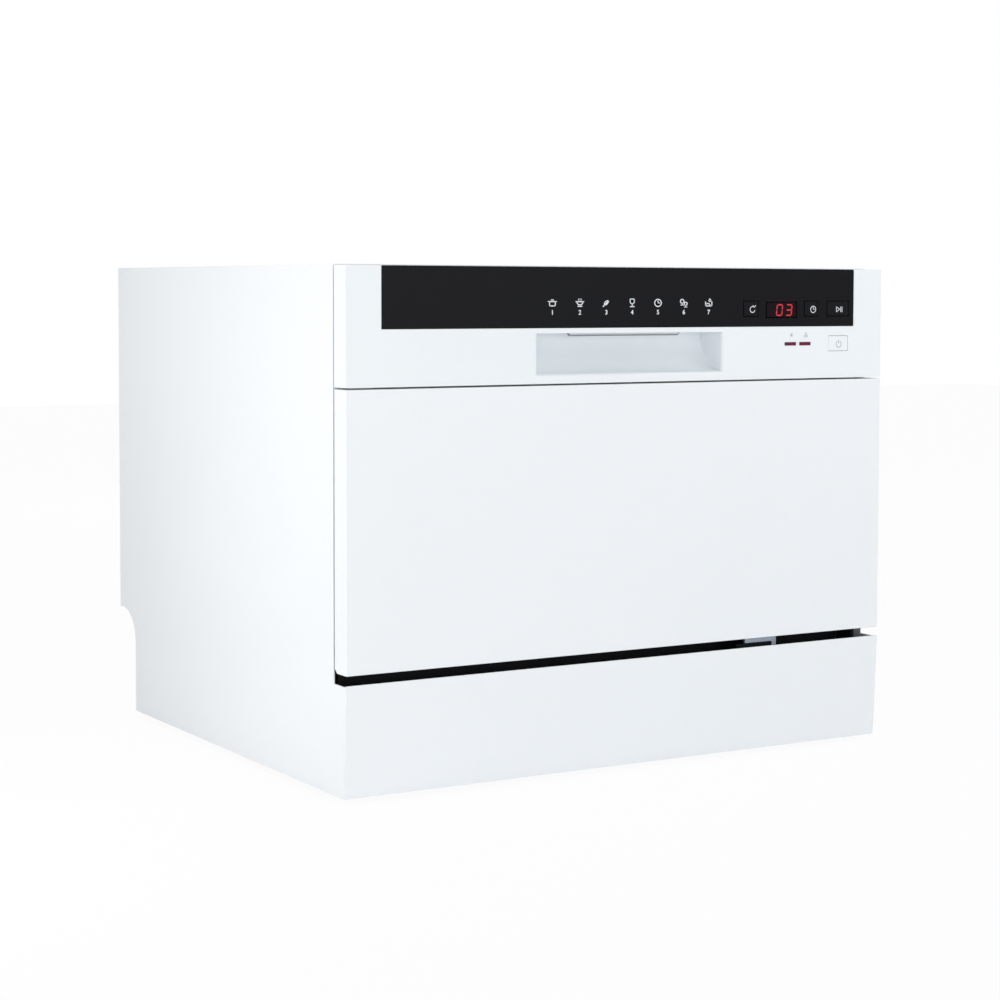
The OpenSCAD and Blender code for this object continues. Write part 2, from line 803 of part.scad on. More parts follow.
module float_switch() {
    float_x = tub_x - 74;
    float_y = arm_y + 86;
    color("orange") cyl_z(tray_z, tray_z + 12, float_x, float_y, 18);
    color("black") {
        cyl_z(tray_z + 12, tray_z + 22, float_x, float_y, 4);
        box([float_x - 12, float_y - 8, tray_z + 22], [float_x + 12, float_y + 8, tray_z + 32]);
        box([float_x + 20, float_y - 8, tray_z], [float_x + 24, float_y + 8, tray_z + 32]);
        box([float_x + 10, float_y - 4, tray_z + 24], [float_x + 22, float_y + 4, tray_z + 30]);
    }
}

module inner_hoses() {
    pump_y = drain_pump_y + 12;
    pump_z = drain_pump_z;
    turn_y = recess_y - 60;
    valve_y = recess_y - 24;
    low_z = breather_z0 - 30;
    color("gray") {
        hose([[-2 - slack, pump_y, pump_z], [-50, pump_y, pump_z], [-50, turn_y, pump_z],
            [drain_x, turn_y, pump_z], [drain_x, turn_y, fitting_up],
            [drain_x, recess_y - 14.3, fitting_up]], 7, 14);
        hose([[inlet_x - 14.3, valve_y, fitting_up], [breather_x, valve_y, fitting_up],
            [breather_x, valve_y, low_z], [breather_x, breather_port_y, low_z],
            [breather_x, breather_port_y, breather_z0 - 10 - slack]], 5, 12);
    }
}

// screw along -Y with a cross slot; its head sits on the plane y
module screw(x, y, z, head_r, head_t, length) {
    slot_w = head_r * 0.25;
    slot_l = head_r * 0.6;
    difference() {
        union() {
            cyl_y(y, y + head_t, x, z, head_r);
            cyl_y(y - length, y + eps, x, z, 1.8);
        }
        box([x - slot_w, y + head_t * 0.4, z - slot_l], [x + slot_w, y + head_t + 1, z + slot_l]);
        box([x - slot_l, y + head_t * 0.4, z - slot_w], [x + slot_l, y + head_t + 1, z + slot_w]);
    }
}

module cabinet_screws() {
    color("silver") for (p = rear_screws) screw(p.x, rear_y, p.y, 4, 2, 8);
}

// ---- door ----

module outer_door_panel() {
    color("white") {
        box([-half_w, front_y, door_z], [half_w, front_y + sheet, door_top]);
        side_copies() {
            // side return; its lower rear corner is cut to clear the side panel as the door swings
            along_x(half_w - sheet, half_w) polygon([[front_y, door_z], [hinge_y + 3, door_z],
                [door_y, hinge_z - 4.5], [door_y, door_top], [front_y, door_top]]);
            // rear flange that the hinge arm and the inner door are screwed to
            box([inner_x - 12, door_y - sheet, reveal_z], [half_w, door_y, door_top]);
        }
        box([-half_w, front_y, door_top - sheet], [half_w, front_y + 12, door_top]);
        box([-inner_x + 4, front_y, door_z], [inner_x - 4, door_y - sheet, door_z + sheet]);
    }
}

// quarter round of the finger recess; it starts at the plane y0
module scoop(r, x, y0) {
    along_x(-x, x) intersection() {
        translate([front_y, recess_top]) circle(r);
        rect([y0, recess_top - r - 1], [front_y + r + 1, recess_top]);
    }
}

// section of a rounded rim, cut away along the recess's edge
module soft_edge() {
    f = recess_soft;
    polygon(concat([[-1, f], [-1, -1], [f, -1]], [for (a = [0:22.5:90]) [f - f * sin(a), f - f * cos(a)]]));
}

module recess_rim() {
    z0 = recess_top - recess_r;
    f = recess_soft;
    side_copies() translate([recess_x, front_y, z0]) linear_extrude(recess_r) soft_edge();
    along_x(-recess_x, recess_x) translate([front_y, z0]) rotate(-90) soft_edge();
    side_copies() intersection() {
        translate([recess_x, front_y, z0 - f]) linear_extrude(f + 1) soft_edge();
        along_x(recess_x - 1, recess_x + f) translate([front_y, z0]) rotate(-90) soft_edge();
    }
}

module window(x, z, w, h, r = 1) {
    soft_rect([x - w / 2, z - h / 2], [x + w / 2, z + h / 2], r);
}

module control_holes(g) {
    window(program_x, control_z, program_w + 2 * g, button_h + 2 * g);
    window(delay_x, control_z, delay_w + 2 * g, button_h + 2 * g);
    window(start_x, control_z, start_w + 2 * g, button_h + 2 * g);
}

module control_panel() {
    color("white") {
        difference() {
            union() {
                box([-half_w, front_y, panel_z], [half_w, panel_back_y, panel_top]);
                side_copies() box([half_w - panel_t, front_y, panel_z], [half_w, door_y, panel_top]);
                box([-half_w, front_y, panel_top - panel_t], [half_w, door_y, panel_top]);
                box([-half_w, front_y, panel_z], [half_w, front_y + 14, panel_z + panel_t]);
                scoop(recess_r + 2, recess_x + 2, front_y + 1);
                // ceiling of the recess
                box([-recess_x - 2, front_y + 1, recess_top - 2],
                    [recess_x + 2, front_y + recess_r + 3.5, recess_top + 2]);
                // ears that carry the handle lever
                side_copies() box([lip_x + 1.4, lever_y - 5, recess_top + 1],
                    [lip_x + 5, lever_y + 5, lever_z + 5]);
                // bosses for the inner door's screws
                for (x = [inner_x - 8, 110], z = [panel_z + 8, panel_top - 12]) side_copies()
                    cyl_y(front_y + 1, door_y, x, z, 4.5);
            }
            along_y(front_y - 1, rebate_y) rect([-fascia_w / 2, fascia_z], [fascia_w / 2, panel_top + 1]);
            along_y(front_y - 1, panel_back_y + 1) {
                control_holes(button_gap);
                window(display_x, control_z - 1, display_w - 3, display_h - 3);
                window(power_x, power_z, power_w + 2 * button_gap, power_h + 2 * button_gap);
                for (x = lamp_x) window(x, power_z, lamp_w, lamp_h, 0.5);
            }
            scoop(recess_r, recess_x, front_y - 1);
            recess_rim();
            box([-lip_x - 0.6, lever_y - 2, recess_top - 1],
                [lip_x + 0.6, lip_y + lip_t + 1, recess_top + 3]);
            cyl_x(-lip_x - 6, lip_x + 6, lever_y, lever_z, lever_r + run);
        }
    }
}

module fascia_strip() {
    color("black") along_y(fascia_y, rebate_y) difference() {
        soft_rect([-fascia_w / 2 + 0.1, fascia_z + 0.1], [fascia_w / 2 - 0.1, panel_top], 1.5);
        control_holes(button_gap);
        window(display_x, control_z - 1, display_w, display_h);
    }
}

module display_window() {
    color("darkred") {
        along_y(fascia_y, rebate_y) window(display_x, control_z - 1, display_w - 0.2, display_h - 0.2);
        along_y(rebate_y - eps, board_y) window(display_x, control_z - 1, display_w - 4, display_h - 4);
    }
}

module indicator_lenses() {
    color("darkred") for (x = lamp_x)
        along_y(front_y, board_y) window(x, power_z, lamp_w - 0.2, lamp_h - 0.2, 0.5);
}

module button(x, z, w, h, face_y) {
    along_y(face_y, face_y + 4) window(x, z, w, h);
    along_y(face_y + 4 - eps, board_y - 2.2 - press) window(x, z, 5, 5);
}

module program_button() {
    color("dimgray") button(program_x, control_z, program_w, button_h, front_y);
}

module delay_button() {
    color("dimgray") button(delay_x, control_z, delay_w, button_h, front_y);
}

module start_button() {
    color("dimgray") button(start_x, control_z, start_w, button_h, front_y);
}

module power_button() {
    color("white") button(power_x, power_z, power_w, power_h, front_y);
}

module control_board() {
    color("darkgreen") {
        box([program_x - program_w / 2 - 2, board_y, power_z - 10],
            [start_x + start_w / 2 + 5, board_y + 1.6, panel_top - 8]);
        for (x = [program_x, delay_x, start_x])
            box([x - 3, board_y - 2, control_z - 3], [x + 3, board_y + eps, control_z + 3]);
        box([power_x - 3, board_y - 2, power_z - 3], [power_x + 3, board_y + eps, power_z + 3]);
        box([program_x - 5, board_y + 1.5, power_z - 4], [program_x + 23, board_y + 7.5, power_z + 10]);
    }
}

module handle_lever() {
    color("whitesmoke") {
        cyl_x(-lip_x - 4.5, lip_x + 4.5, lever_y, lever_z, lever_r);
        cyl_x(-lip_x, lip_x, lever_y, lever_z, lever_r + 1.5);
        along_y(lip_y, lip_y + lip_t) soft_rect([-lip_x, recess_top - lip_show], [lip_x, lever_z], 2);
        box([-lip_x, lever_y, lever_z - lip_t], [lip_x, lip_y + lip_t, lever_z + 1]);
        box([-6, lever_y, lever_z], [6, hook_y - 4.4, contact_z + 1]);
    }
}

module latch_hook() {
    tail_z = contact_z - 1.2;
    color("dimgray") difference() {
        union() {
            cyl_x(-5, 5, hook_y, hook_z, 4.5);
            box([-5, hook_y - 4, tail_z], [5, hook_y + 1, hook_z]);
            box([-2, hook_y, hook_z - 2], [2, inner_y - 6, hook_z + 1.5]);
            box([-2, inner_y - 10, catch_z + slack], [2, inner_y - 6, hook_z]);
        }
        cyl_x(-6, 6, hook_y, hook_z, 2 + run);
    }
}

module latch_housing() {
    color("black") difference() {
        box([-16, hook_y - 8, catch_z - 14], [16, inner_y - inner_t, hook_z + 4.8]);
        box([-7, hook_y - 9, catch_z - 10], [7, inner_y + 1, hook_z + 6]);
        box([-7, hook_y - 9, catch_z - 15], [7, inner_y - 6, hook_z + 6]);
    }
    color("silver") cyl_x(-8, 8, hook_y, hook_z, 2);
}

door_screw_zs = [hinge_z + 60, hinge_z + 170, inner_top - 30];

module inner_door_panel() {
    color("silver") difference() {
        box([-inner_x, door_y, inner_z], [inner_x, inner_y, inner_top]);
        box([-inner_x + inner_t, door_y + inner_t, inner_z + inner_t],
            [inner_x - inner_t, inner_y - inner_t, inner_top - inner_t]);
        box([-inner_x + 22, door_y - 1, inner_z + 12], [inner_x - 22, door_y + inner_t + 1, inner_top - 12]);
        // notch of the latch housing in the front flange
        box([-16 - slack, door_y - 1, inner_top - 20],
            [16 + slack, door_y + inner_t + 1, inner_top - inner_t]);
        // chamfered lower edge that clears the sill
        along_x(-inner_x - 1, inner_x + 1)
            polygon([[inner_y - 3.5, inner_z - eps], [inner_y + eps, inner_z + 6],
                [inner_y + 1, inner_z - 1]]);
        // slot of the door catch
        box([-9, inner_y - 3, catch_z - 9], [9, inner_y + 1, catch_z + 2]);
        // cut-out of the dispenser
        box([disp_x0 + 3, inner_y - 3, disp_z0 + 3], [disp_x1 - 3, inner_y + 1, disp_z0 + disp_h - 3]);
        for (z = door_screw_zs) side_copies() cyl_y(inner_y - 3, inner_y + 1, inner_x - 6, z, 2);
    }
}

module hinge_arm() {
    arm_top = hinge_z + 134;
    difference() {
        union() {
            cyl_x(arm_x, arm_x + hinge_plate, hinge_y, hinge_z, 8);
            box([arm_x, hinge_y - 8, hinge_z], [arm_x + hinge_plate, door_y - sheet, arm_top]);
            box([inner_x - 14, door_y - sheet - 2, reveal_z + 18], [arm_x + 1, door_y - sheet, arm_top]);
        }
        cyl_x(arm_x - 1, arm_x + hinge_plate + 1, hinge_y, hinge_z, hinge_pin_r + run);
        box([arm_x - 1, hinge_y + 5, hinge_z - 9], [arm_x + hinge_plate + 1, door_y + 1, reveal_z + 2]);
    }
}

module hinge_arms() {
    color("darkgray") side_copies() hinge_arm();
}

module bottom_seal() {
    color("dimgray") along_x(-inner_x + 7, inner_x - 7) polygon([
        [inner_y - 17, inner_z], [inner_y - 17, inner_z - 2], [inner_y - 2, inner_z - 2.5],
        [inner_y - 1, inner_z - 1.5], [inner_y - 5, inner_z]]);
}

module detergent_dispenser() {
    lid_y = inner_y + disp_t;
    rail_y = lid_y + slack + 2.2;
    color("lightgray") difference() {
        union() {
            along_y(inner_y, lid_y) soft_rect([disp_x0, disp_z0], [disp_x1, disp_z0 + disp_h], 6);
            box([disp_x0 + 3, inner_y - cup_depth - 2, disp_z0 + 3],
                [disp_x1 - 3, inner_y + eps, disp_z0 + disp_h - 3]);
            // rails that guide the lid
            for (s = [0, 1]) {
                x = s == 0 ? lid_x0 - 2 - slack : lid_x0 + lid_w + slack;
                box([x, lid_y - eps, disp_z0 + 4], [x + 2, rail_y + 1, disp_z0 + disp_h - 4]);
                box([s == 0 ? x : x - 1.7, rail_y, disp_z0 + 4],
                    [s == 0 ? x + 3.7 : x + 2, rail_y + 1, disp_z0 + disp_h - 4]);
            }
        }
        // detergent cup
        along_y(inner_y - cup_depth, lid_y + 1)
            soft_rect([lid_x0 + 3, disp_z0 + 7], [lid_x0 + lid_w - 3, disp_z0 + lid_h + 1], 5);
        // bore of the rinse aid cap
        cyl_y(inner_y - 12, lid_y + 1, rinse_x, rinse_z, rinse_stem_r + run);
    }
}

module dispenser_lid() {
    lid_y = inner_y + disp_t + slack;
    color("gray") {
        box([lid_x0, lid_y, disp_z0 + 4.2], [lid_x0 + lid_w, lid_y + 2, disp_z0 + 4.2 + lid_h]);
        box([lid_x0 + 10, lid_y + 1.9, disp_z0 + 8], [lid_x0 + lid_w - 10, lid_y + 5, disp_z0 + 11]);
    }
}

module rinse_aid_cap() {
    cap_y = inner_y + disp_t + slack;
    color("dimgray") {
        cyl_y(cap_y, cap_y + 3, rinse_x, rinse_z, rinse_r);
        cyl_y(cap_y - 11, cap_y + 1, rinse_x, rinse_z, rinse_stem_r);
        box([rinse_x - rinse_r + 3, cap_y + 2, rinse_z - 2], [rinse_x + rinse_r - 3, cap_y + 6, rinse_z + 2]);
    }
}

module door_screws() {
    color("silver") side_copies() for (z = door_screw_zs) screw(inner_x - 6, inner_y, z, 3, 1.5, 12);
}

// ---- rack ----

module rack_floor() {
    color("lightsteelblue") {
        // outer frame
        for (y = [rack_y0, rack_y1]) rod([-rack_x, y, rack_z], [rack_x, y, rack_z], frame_r);
        for (x = [-rack_x, rack_x]) {
            rod([x, rack_y0, rack_z], [x, rack_y1, rack_z], frame_r);
            for (y = [rack_y0, rack_y1]) translate([x, y, rack_z]) sphere(frame_r);
        }
        for (y = cross_ys) rod([-rack_x, y, rack_z], [rack_x, y, rack_z], wire_r);
        for (i = [1:7]) {
            x = -rack_x + i * rack_x / 4;
            rod([x, rack_y0, rack_z], [x, rack_y1, rack_z], wire_r);
        }
        // clips with the wheel axles
        for (y = wheel_ys) side_copies() {
            box([rack_x - 4, y - 9, axle_z - 7], [wheel_x - 1, y + 9, rack_z + 2]);
            cyl_x(wheel_x - 2, wheel_x + wheel_w, y, axle_z, axle_r);
        }
    }
}

module wheel_pair(y) {
    side_copies() difference() {
        cyl_x(wheel_x, wheel_x + wheel_w, y, axle_z, wheel_r);
        cyl_x(wheel_x - 1, wheel_x + wheel_w + 1, y, axle_z, axle_r + run);
        for (a = [0:72:288]) translate([0, y, axle_z]) rotate([a, 0, 0])
            cyl_x(wheel_x + wheel_w - 2, wheel_x + wheel_w + 1, 0, 6.8, 1.6);
    }
}

module front_wheels() {
    color("gray") wheel_pair(wheel_ys[0]);
}

module rear_wheels() {
    color("gray") wheel_pair(wheel_ys[1]);
}

rim_x = rack_x + rim_grow;
rim_y0 = rack_y0 - rim_grow;
rim_y1 = rack_y1 + rim_grow * 0.5;
rim_bend = 14;

// rim of an end wall with its two round corners; s is -1 at the front
module end_wall(y_floor, y_rim, s) {
    base_z = rack_z + frame_r;
    rod([-rim_x + rim_bend, y_rim, rim_z], [rim_x - rim_bend, y_rim, rim_z], frame_r);
    side_copies() translate([rim_x - rim_bend, y_rim - s * rim_bend, rim_z])
        rotate(s > 0 ? 0 : -90) rotate_extrude(angle = 90) translate([rim_bend, 0]) circle(frame_r);
    for (i = [0:10]) {
        x = (rack_x - 16) * (i / 5 - 1);
        rod([x, y_floor, base_z], [x, y_rim, rim_z], wire_r);
    }
    mid = 95 / rack_h;
    rod([-rack_x + 16, y_floor + mid * (y_rim - y_floor), rack_z + 95],
        [rack_x - 16, y_floor + mid * (y_rim - y_floor), rack_z + 95], wire_r);
}

module side_wall() {
    base_z = rack_z + frame_r;
    rod([rim_x, rim_y0 + rim_bend + 0.1, rim_z], [rim_x, rim_y1 - rim_bend - 0.1, rim_z], frame_r);
    for (i = [0:8]) {
        y = rack_y0 + 14 + i * (rack_d - 28) / 8;
        rod([rack_x, y, base_z], [rim_x, y, rim_z], wire_r);
    }
    rod([-shelf_x, rack_y0 + 14, shelf_z], [-shelf_x, rack_y1 - 14, shelf_z], wire_r);
}

module rack_walls() {
    color("lightsteelblue") {
        end_wall(rack_y0, rim_y0, -1);
        end_wall(rack_y1, rim_y1, 1);
        side_copies() side_wall();
    }
}

module plate_tines() {
    color("lightsteelblue") for (y = tine_ys, i = [0:tine_n - 1]) {
        x = tine_x0 + i * tine_step;
        cyl_z(rack_z + wire_r, rack_z + tine_h, x, y, wire_r);
        translate([x, y, rack_z + tine_h]) sphere(wire_r);
    }
}

// folding shelf for cups; it turns on a wire of the left wall
module cup_shelf() {
    y0 = shelf_y0;
    y1 = shelf_y0 + shelf_l;
    x0 = shelf_x + 5;
    x1 = shelf_x + shelf_w;
    color("lightsteelblue") {
        for (y = [y0, y1]) {
            difference() {
                union() {
                    cyl_y(y - 4, y + 4, shelf_x, shelf_z, wire_r + 2.6);
                    box([shelf_x, y - 4, shelf_z - 2], [x0 + 4, y + 4, shelf_z + 2]);
                }
                cyl_y(y - 5, y + 5, shelf_x, shelf_z, wire_r + run);
            }
            rod([x0, y, shelf_z], [x1, y, shelf_z], wire_r);
            translate([x1, y, shelf_z]) sphere(wire_r);
        }
        rod([x1, y0, shelf_z], [x1, y1, shelf_z], wire_r);
        rod([x0 + 6, y0, shelf_z], [x0 + 6, y1, shelf_z], wire_r);
        for (i = [1:5]) {
            y = y0 + i * shelf_l / 6;
            rod([x0 + 6, y, shelf_z], [x1, y, shelf_z], wire_r);
        }
    }
}

module cutlery_basket() {
    wall = 2;
    cols = 2;
    rows = 3;
    cell_w = (basket_w - wall) / cols;
    cell_l = (basket_l - wall) / rows;
    mid_x = (basket_x0 + basket_x1) / 2;
    color("lightgray") {
        difference() {
            box([basket_x0, basket_y0, basket_z],
                [basket_x1, basket_y0 + basket_l, basket_z + basket_h]);
            for (i = [0:cols - 1], j = [0:rows - 1]) {
                x = basket_x0 + wall + i * cell_w;
                y = basket_y0 + wall + j * cell_l;
                box([x, y, basket_z + wall], [x + cell_w - wall, y + cell_l - wall, basket_z + basket_h + 1]);
            }
            // windows in the long and the short walls
            for (j = [0:rows - 1], z = [14, 44]) {
                y = basket_y0 + wall + j * cell_l + 8;
                box([basket_x0 - 1, y, basket_z + z],
                    [basket_x0 + wall + 1, y + cell_l - 18, basket_z + z + 22]);
                box([basket_x1 - wall - 1, y, basket_z + z],
                    [basket_x1 + 1, y + cell_l - 18, basket_z + z + 22]);
            }
        }
        // handle
        for (y = [basket_y0 + 20, basket_y0 + basket_l - 26])
            box([mid_x - 2, y, basket_z + basket_h - 20], [mid_x + 2, y + 6, basket_z + basket_h + 24]);
        box([mid_x - 4, basket_y0 + 20, basket_z + basket_h + 20],
            [mid_x + 4, basket_y0 + basket_l - 20, basket_z + basket_h + 26]);
    }
}

base_tray();
rubber_feet();
kick_plate();
kick_bracket();
side_panel_left();
side_panel_right();
top_cover();
rear_panel();
recess_panel();
tub_wrapper();
tub_back();
tub_floor();
door_gasket();
rack_rails();
sump();
filter_plate();
wash_pump();
drain_pump();
heater();
water_softener();
inlet_valve();
drain_connector();
cable_gland();
air_breather();
float_switch();
door_catch();
hinge_brackets();
inner_hoses();
cabinet_screws();
outer_door_panel();
control_panel();
fascia_strip();
display_window();
indicator_lenses();
inner_door_panel();
hinge_arms();
detergent_dispenser();
control_board();
latch_housing();
bottom_seal();
door_screws();
program_button();
delay_button();
start_button();
power_button();
handle_lever();
latch_hook();
dispenser_lid();
rinse_aid_cap();
spray_arm();
filter_cup();
salt_cap();
rack_floor();
rack_walls();
plate_tines();
front_wheels();
rear_wheels();
cup_shelf();
cutlery_basket();
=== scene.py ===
# %% [markdown]
# # A white countertop dishwasher
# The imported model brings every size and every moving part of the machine. This notebook gives it
# its looks: softened edges, paint, gloss plastic, brushed steel, coated wire, printed symbols and a
# lit display. Each step says what the piece is on the real machine before it is made.

# %% Load the frame
import json
import math

import bmesh
import bpy
from mathutils import Matrix, Vector

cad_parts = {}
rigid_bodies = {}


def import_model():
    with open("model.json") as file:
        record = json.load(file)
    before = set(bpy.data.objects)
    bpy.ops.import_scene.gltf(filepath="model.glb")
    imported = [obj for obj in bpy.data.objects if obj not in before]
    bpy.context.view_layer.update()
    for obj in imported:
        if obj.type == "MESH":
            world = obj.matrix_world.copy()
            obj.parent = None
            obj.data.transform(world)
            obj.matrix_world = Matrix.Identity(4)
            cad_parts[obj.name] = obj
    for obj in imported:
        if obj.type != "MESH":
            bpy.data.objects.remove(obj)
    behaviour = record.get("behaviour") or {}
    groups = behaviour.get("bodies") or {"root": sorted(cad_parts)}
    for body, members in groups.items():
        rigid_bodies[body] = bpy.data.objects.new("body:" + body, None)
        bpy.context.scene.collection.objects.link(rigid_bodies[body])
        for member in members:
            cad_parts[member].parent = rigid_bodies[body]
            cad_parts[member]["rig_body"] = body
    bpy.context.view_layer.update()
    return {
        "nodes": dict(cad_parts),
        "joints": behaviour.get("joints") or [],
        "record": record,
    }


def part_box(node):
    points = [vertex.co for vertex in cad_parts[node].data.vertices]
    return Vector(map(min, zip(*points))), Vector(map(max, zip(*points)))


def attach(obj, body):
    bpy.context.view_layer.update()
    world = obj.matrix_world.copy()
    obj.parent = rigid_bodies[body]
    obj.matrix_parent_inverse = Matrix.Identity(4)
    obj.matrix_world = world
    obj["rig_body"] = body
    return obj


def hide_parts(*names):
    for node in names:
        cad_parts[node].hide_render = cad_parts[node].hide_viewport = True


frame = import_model()
nodes = frame["nodes"]

# %% [markdown]
# ## Camera
# A product photographer stands back and uses a long lens, so that upright edges stay nearly
# upright. The machine is seen from its left front, from about its own height. A lens of 82 mm at
# 2.2 m gives the same narrow perspective. A small shift, as on a studio camera, moves the machine
# to its place in the picture without tilting the camera any further.

# %% Camera
camera = bpy.data.objects.new("camera", bpy.data.cameras.new("camera"))
bpy.context.scene.collection.objects.link(camera)
camera.data.lens = 81.75
camera.data.sensor_width = 36
camera.data.shift_x = -0.03
camera.data.shift_y = -0.08
camera.location = (-1.087, -1.8777, 0.4163)
camera.rotation_euler = (math.radians(86.757), math.radians(-0.161), math.radians(-31.149))
bpy.context.scene.camera = camera
bpy.context.scene.view_settings.view_transform = "Standard"
print("camera at", tuple(round(v, 3) for v in camera.location))

# %% [markdown]
# ## Colours
# Colour pickers give display values from 0 to 255, but a shader adds light, so it wants linear
# values. One small function turns the first into the second.

# %% Colours
def linear(red, green, blue):
    """A shader colour from display values between 0 and 255."""
    def one(v):
        v /= 255
        return v / 12.92 if v <= 0.04045 else ((v + 0.055) / 1.055) ** 2.4
    return (one(red), one(green), one(blue), 1.0)


print("paper white:", linear(255, 255, 255), "mid grey:", linear(128, 128, 128))

# %% [markdown]
# ## Finishes
# Every finish is a Principled shader whose constant values sit on its own sockets. Its small
# irregularities come from noise read in object coordinates: a slow noise makes the colour and the
# gloss drift, a fine one gives the surface its grain. A finish without them looks like computer
# plastic, because real paint and real sheet are never perfectly even.

# %% A shader with its grain
def shader(name, color, roughness, metallic=0.0, **sockets):
    """A material with one Principled shader; other sockets are set by name."""
    mat = bpy.data.materials.new(name)
    mat.use_nodes = True
    main = mat.node_tree.nodes["Principled BSDF"]
    main.inputs["Base Color"].default_value = linear(*color)
    main.inputs["Roughness"].default_value = roughness
    main.inputs["Metallic"].default_value = metallic
    for socket, value in sockets.items():
        main.inputs[socket.replace("_", " ")].default_value = value
    mat.diffuse_color = linear(*color)
    return mat


def noise(mat, scale, detail=2.0, stretch=(1, 1, 1), kind="ShaderNodeTexNoise"):
    """A noise in object coordinates; scale is in features per metre. Returns the texture node."""
    tree = mat.node_tree
    place = tree.nodes.new("ShaderNodeTexCoord")
    turn = tree.nodes.new("ShaderNodeMapping")
    turn.inputs["Scale"].default_value = stretch
    texture = tree.nodes.new(kind)
    texture.inputs["Scale"].default_value = scale
    if kind == "ShaderNodeTexNoise":
        texture.inputs["Detail"].default_value = detail
    tree.links.new(place.outputs["Object"], turn.inputs["Vector"])
    tree.links.new(turn.outputs["Vector"], texture.inputs["Vector"])
    return texture


def value_of(texture):
    """The output that carries a texture's value, which has its own name on a Voronoi node."""
    return texture.outputs["Fac"] if "Fac" in texture.outputs else texture.outputs["Distance"]


def grain(mat, depth, scale, **how):
    """Bump of a given depth in metres; a second call adds to the first."""
    tree = mat.node_tree
    main = tree.nodes["Principled BSDF"]
    bump = tree.nodes.new("ShaderNodeBump")
    bump.inputs["Distance"].default_value = depth
    tree.links.new(value_of(noise(mat, scale, **how)), bump.inputs["Height"])
    if main.inputs["Normal"].links:
        tree.links.new(main.inputs["Normal"].links[0].from_socket, bump.inputs["Normal"])
    tree.links.new(bump.outputs["Normal"], main.inputs["Normal"])


def drift(mat, other, scale, **how):
    """The colour drifts between the shader's own and another."""
    tree = mat.node_tree
    main = tree.nodes["Principled BSDF"]
    mix = tree.nodes.new("ShaderNodeMix")
    mix.data_type = "RGBA"
    mix.inputs["A"].default_value = main.inputs["Base Color"].default_value
    mix.inputs["B"].default_value = linear(*other)
    tree.links.new(value_of(noise(mat, scale, **how)), mix.inputs["Factor"])
    tree.links.new(mix.outputs["Result"], main.inputs["Base Color"])


def gloss(mat, low, high, scale, **how):
    """The roughness drifts between two values."""
    tree = mat.node_tree
    spread = tree.nodes.new("ShaderNodeMapRange")
    spread.inputs["From Min"].default_value = 0.3
    spread.inputs["From Max"].default_value = 0.7
    spread.inputs["To Min"].default_value = low
    spread.inputs["To Max"].default_value = high
    tree.links.new(value_of(noise(mat, scale, **how)), spread.inputs["Value"])
    tree.links.new(spread.outputs["Result"], tree.nodes["Principled BSDF"].inputs["Roughness"])


print("finish helpers ready")

# %% [markdown]
# ## White paint and white plastic
# The cabinet and the door are steel sheet in white powder coat. Powder melts into a skin with a
# faint orange peel of about a millimetre, and it is satin, so it shows soft light and no mirror
# images. The control panel is moulded in a plastic of nearly the same white. Its mould is etched,
# so its grain is finer and its gloss a little lower. The whites are slightly blue, as in the
# photograph.

# %% White finishes
white_paint = shader("white_paint", (240, 243, 246), 0.36, Specular_IOR_Level=0.45)
drift(white_paint, (236, 240, 243), 3.0, detail=1.0)
gloss(white_paint, 0.32, 0.42, 14.0)
grain(white_paint, 0.00003, 850.0, detail=1.0)

white_plastic = shader("white_plastic", (239, 243, 246), 0.44, Specular_IOR_Level=0.4)
drift(white_plastic, (235, 240, 243), 4.0, detail=1.0)
gloss(white_plastic, 0.4, 0.5, 20.0)
grain(white_plastic, 0.00002, 2600.0, detail=1.0)
print("white paint and white plastic")

# %% [markdown]
# ## Black strip, buttons and display
# The strip behind the programme symbols is a smooth black plastic, and the three buttons in it are
# matt black. Everything round the machine is white, which a black surface mirrors as grey. A low
# specular level keeps that mirror image faint, so that black stays black. The display and the lamps
# sit behind dark red filters, which look nearly black until the digits glow.

# %% Black and red finishes
black_gloss = shader("black_gloss", (14, 13, 17), 0.28, Specular_IOR_Level=0.1)
drift(black_gloss, (17, 18, 21), 5.0, detail=1.0)
grain(black_gloss, 0.000006, 300.0)

black_plastic = shader("black_plastic", (15, 15, 19), 0.42, Specular_IOR_Level=0.1)
gloss(black_plastic, 0.36, 0.5, 60.0)
grain(black_plastic, 0.00002, 2400.0)

red_window = shader("red_window", (24, 18, 22), 0.2, Specular_IOR_Level=0.06)
drift(red_window, (28, 15, 21), 120.0)
grain(red_window, 0.000004, 500.0)

lamp_red = shader("lamp_red", (112, 30, 52), 0.3, Specular_IOR_Level=0.2,
                  Emission_Color=linear(140, 20, 50), Emission_Strength=0.08)
drift(lamp_red, (70, 26, 40), 90.0)

digit_red = shader("digit_red", (120, 16, 26), 0.4,
                   Emission_Color=linear(204, 14, 34), Emission_Strength=0.75)
drift(digit_red, (104, 12, 22), 500.0)
print("black strip, buttons, display and lamps")

# %% [markdown]
# ## Steel
# The tub and the inner door are stainless sheet with a brushed grain. The grain is a noise that is
# stretched along one direction, used for both the bump and the roughness. Brackets and the rear
# panel are zinc coated, and zinc crystals show as pale and darker patches: a Voronoi cell noise.
# The hinges get black in place of zinc: painted shade, so nothing bright shows under the door.

# %% Steel finishes
stainless = shader("stainless", (198, 200, 203), 0.3, 1.0)
drift(stainless, (184, 187, 190), 30.0, stretch=(1, 1, 24))
gloss(stainless, 0.24, 0.4, 60.0, stretch=(1, 1, 20))
grain(stainless, 0.000012, 220.0, detail=3.0, stretch=(1, 1, 30))

zinc_steel = shader("zinc_steel", (186, 189, 192), 0.42, 1.0)
drift(zinc_steel, (168, 172, 177), 90.0, kind="ShaderNodeTexVoronoi")
gloss(zinc_steel, 0.34, 0.52, 70.0)
grain(zinc_steel, 0.00001, 400.0)

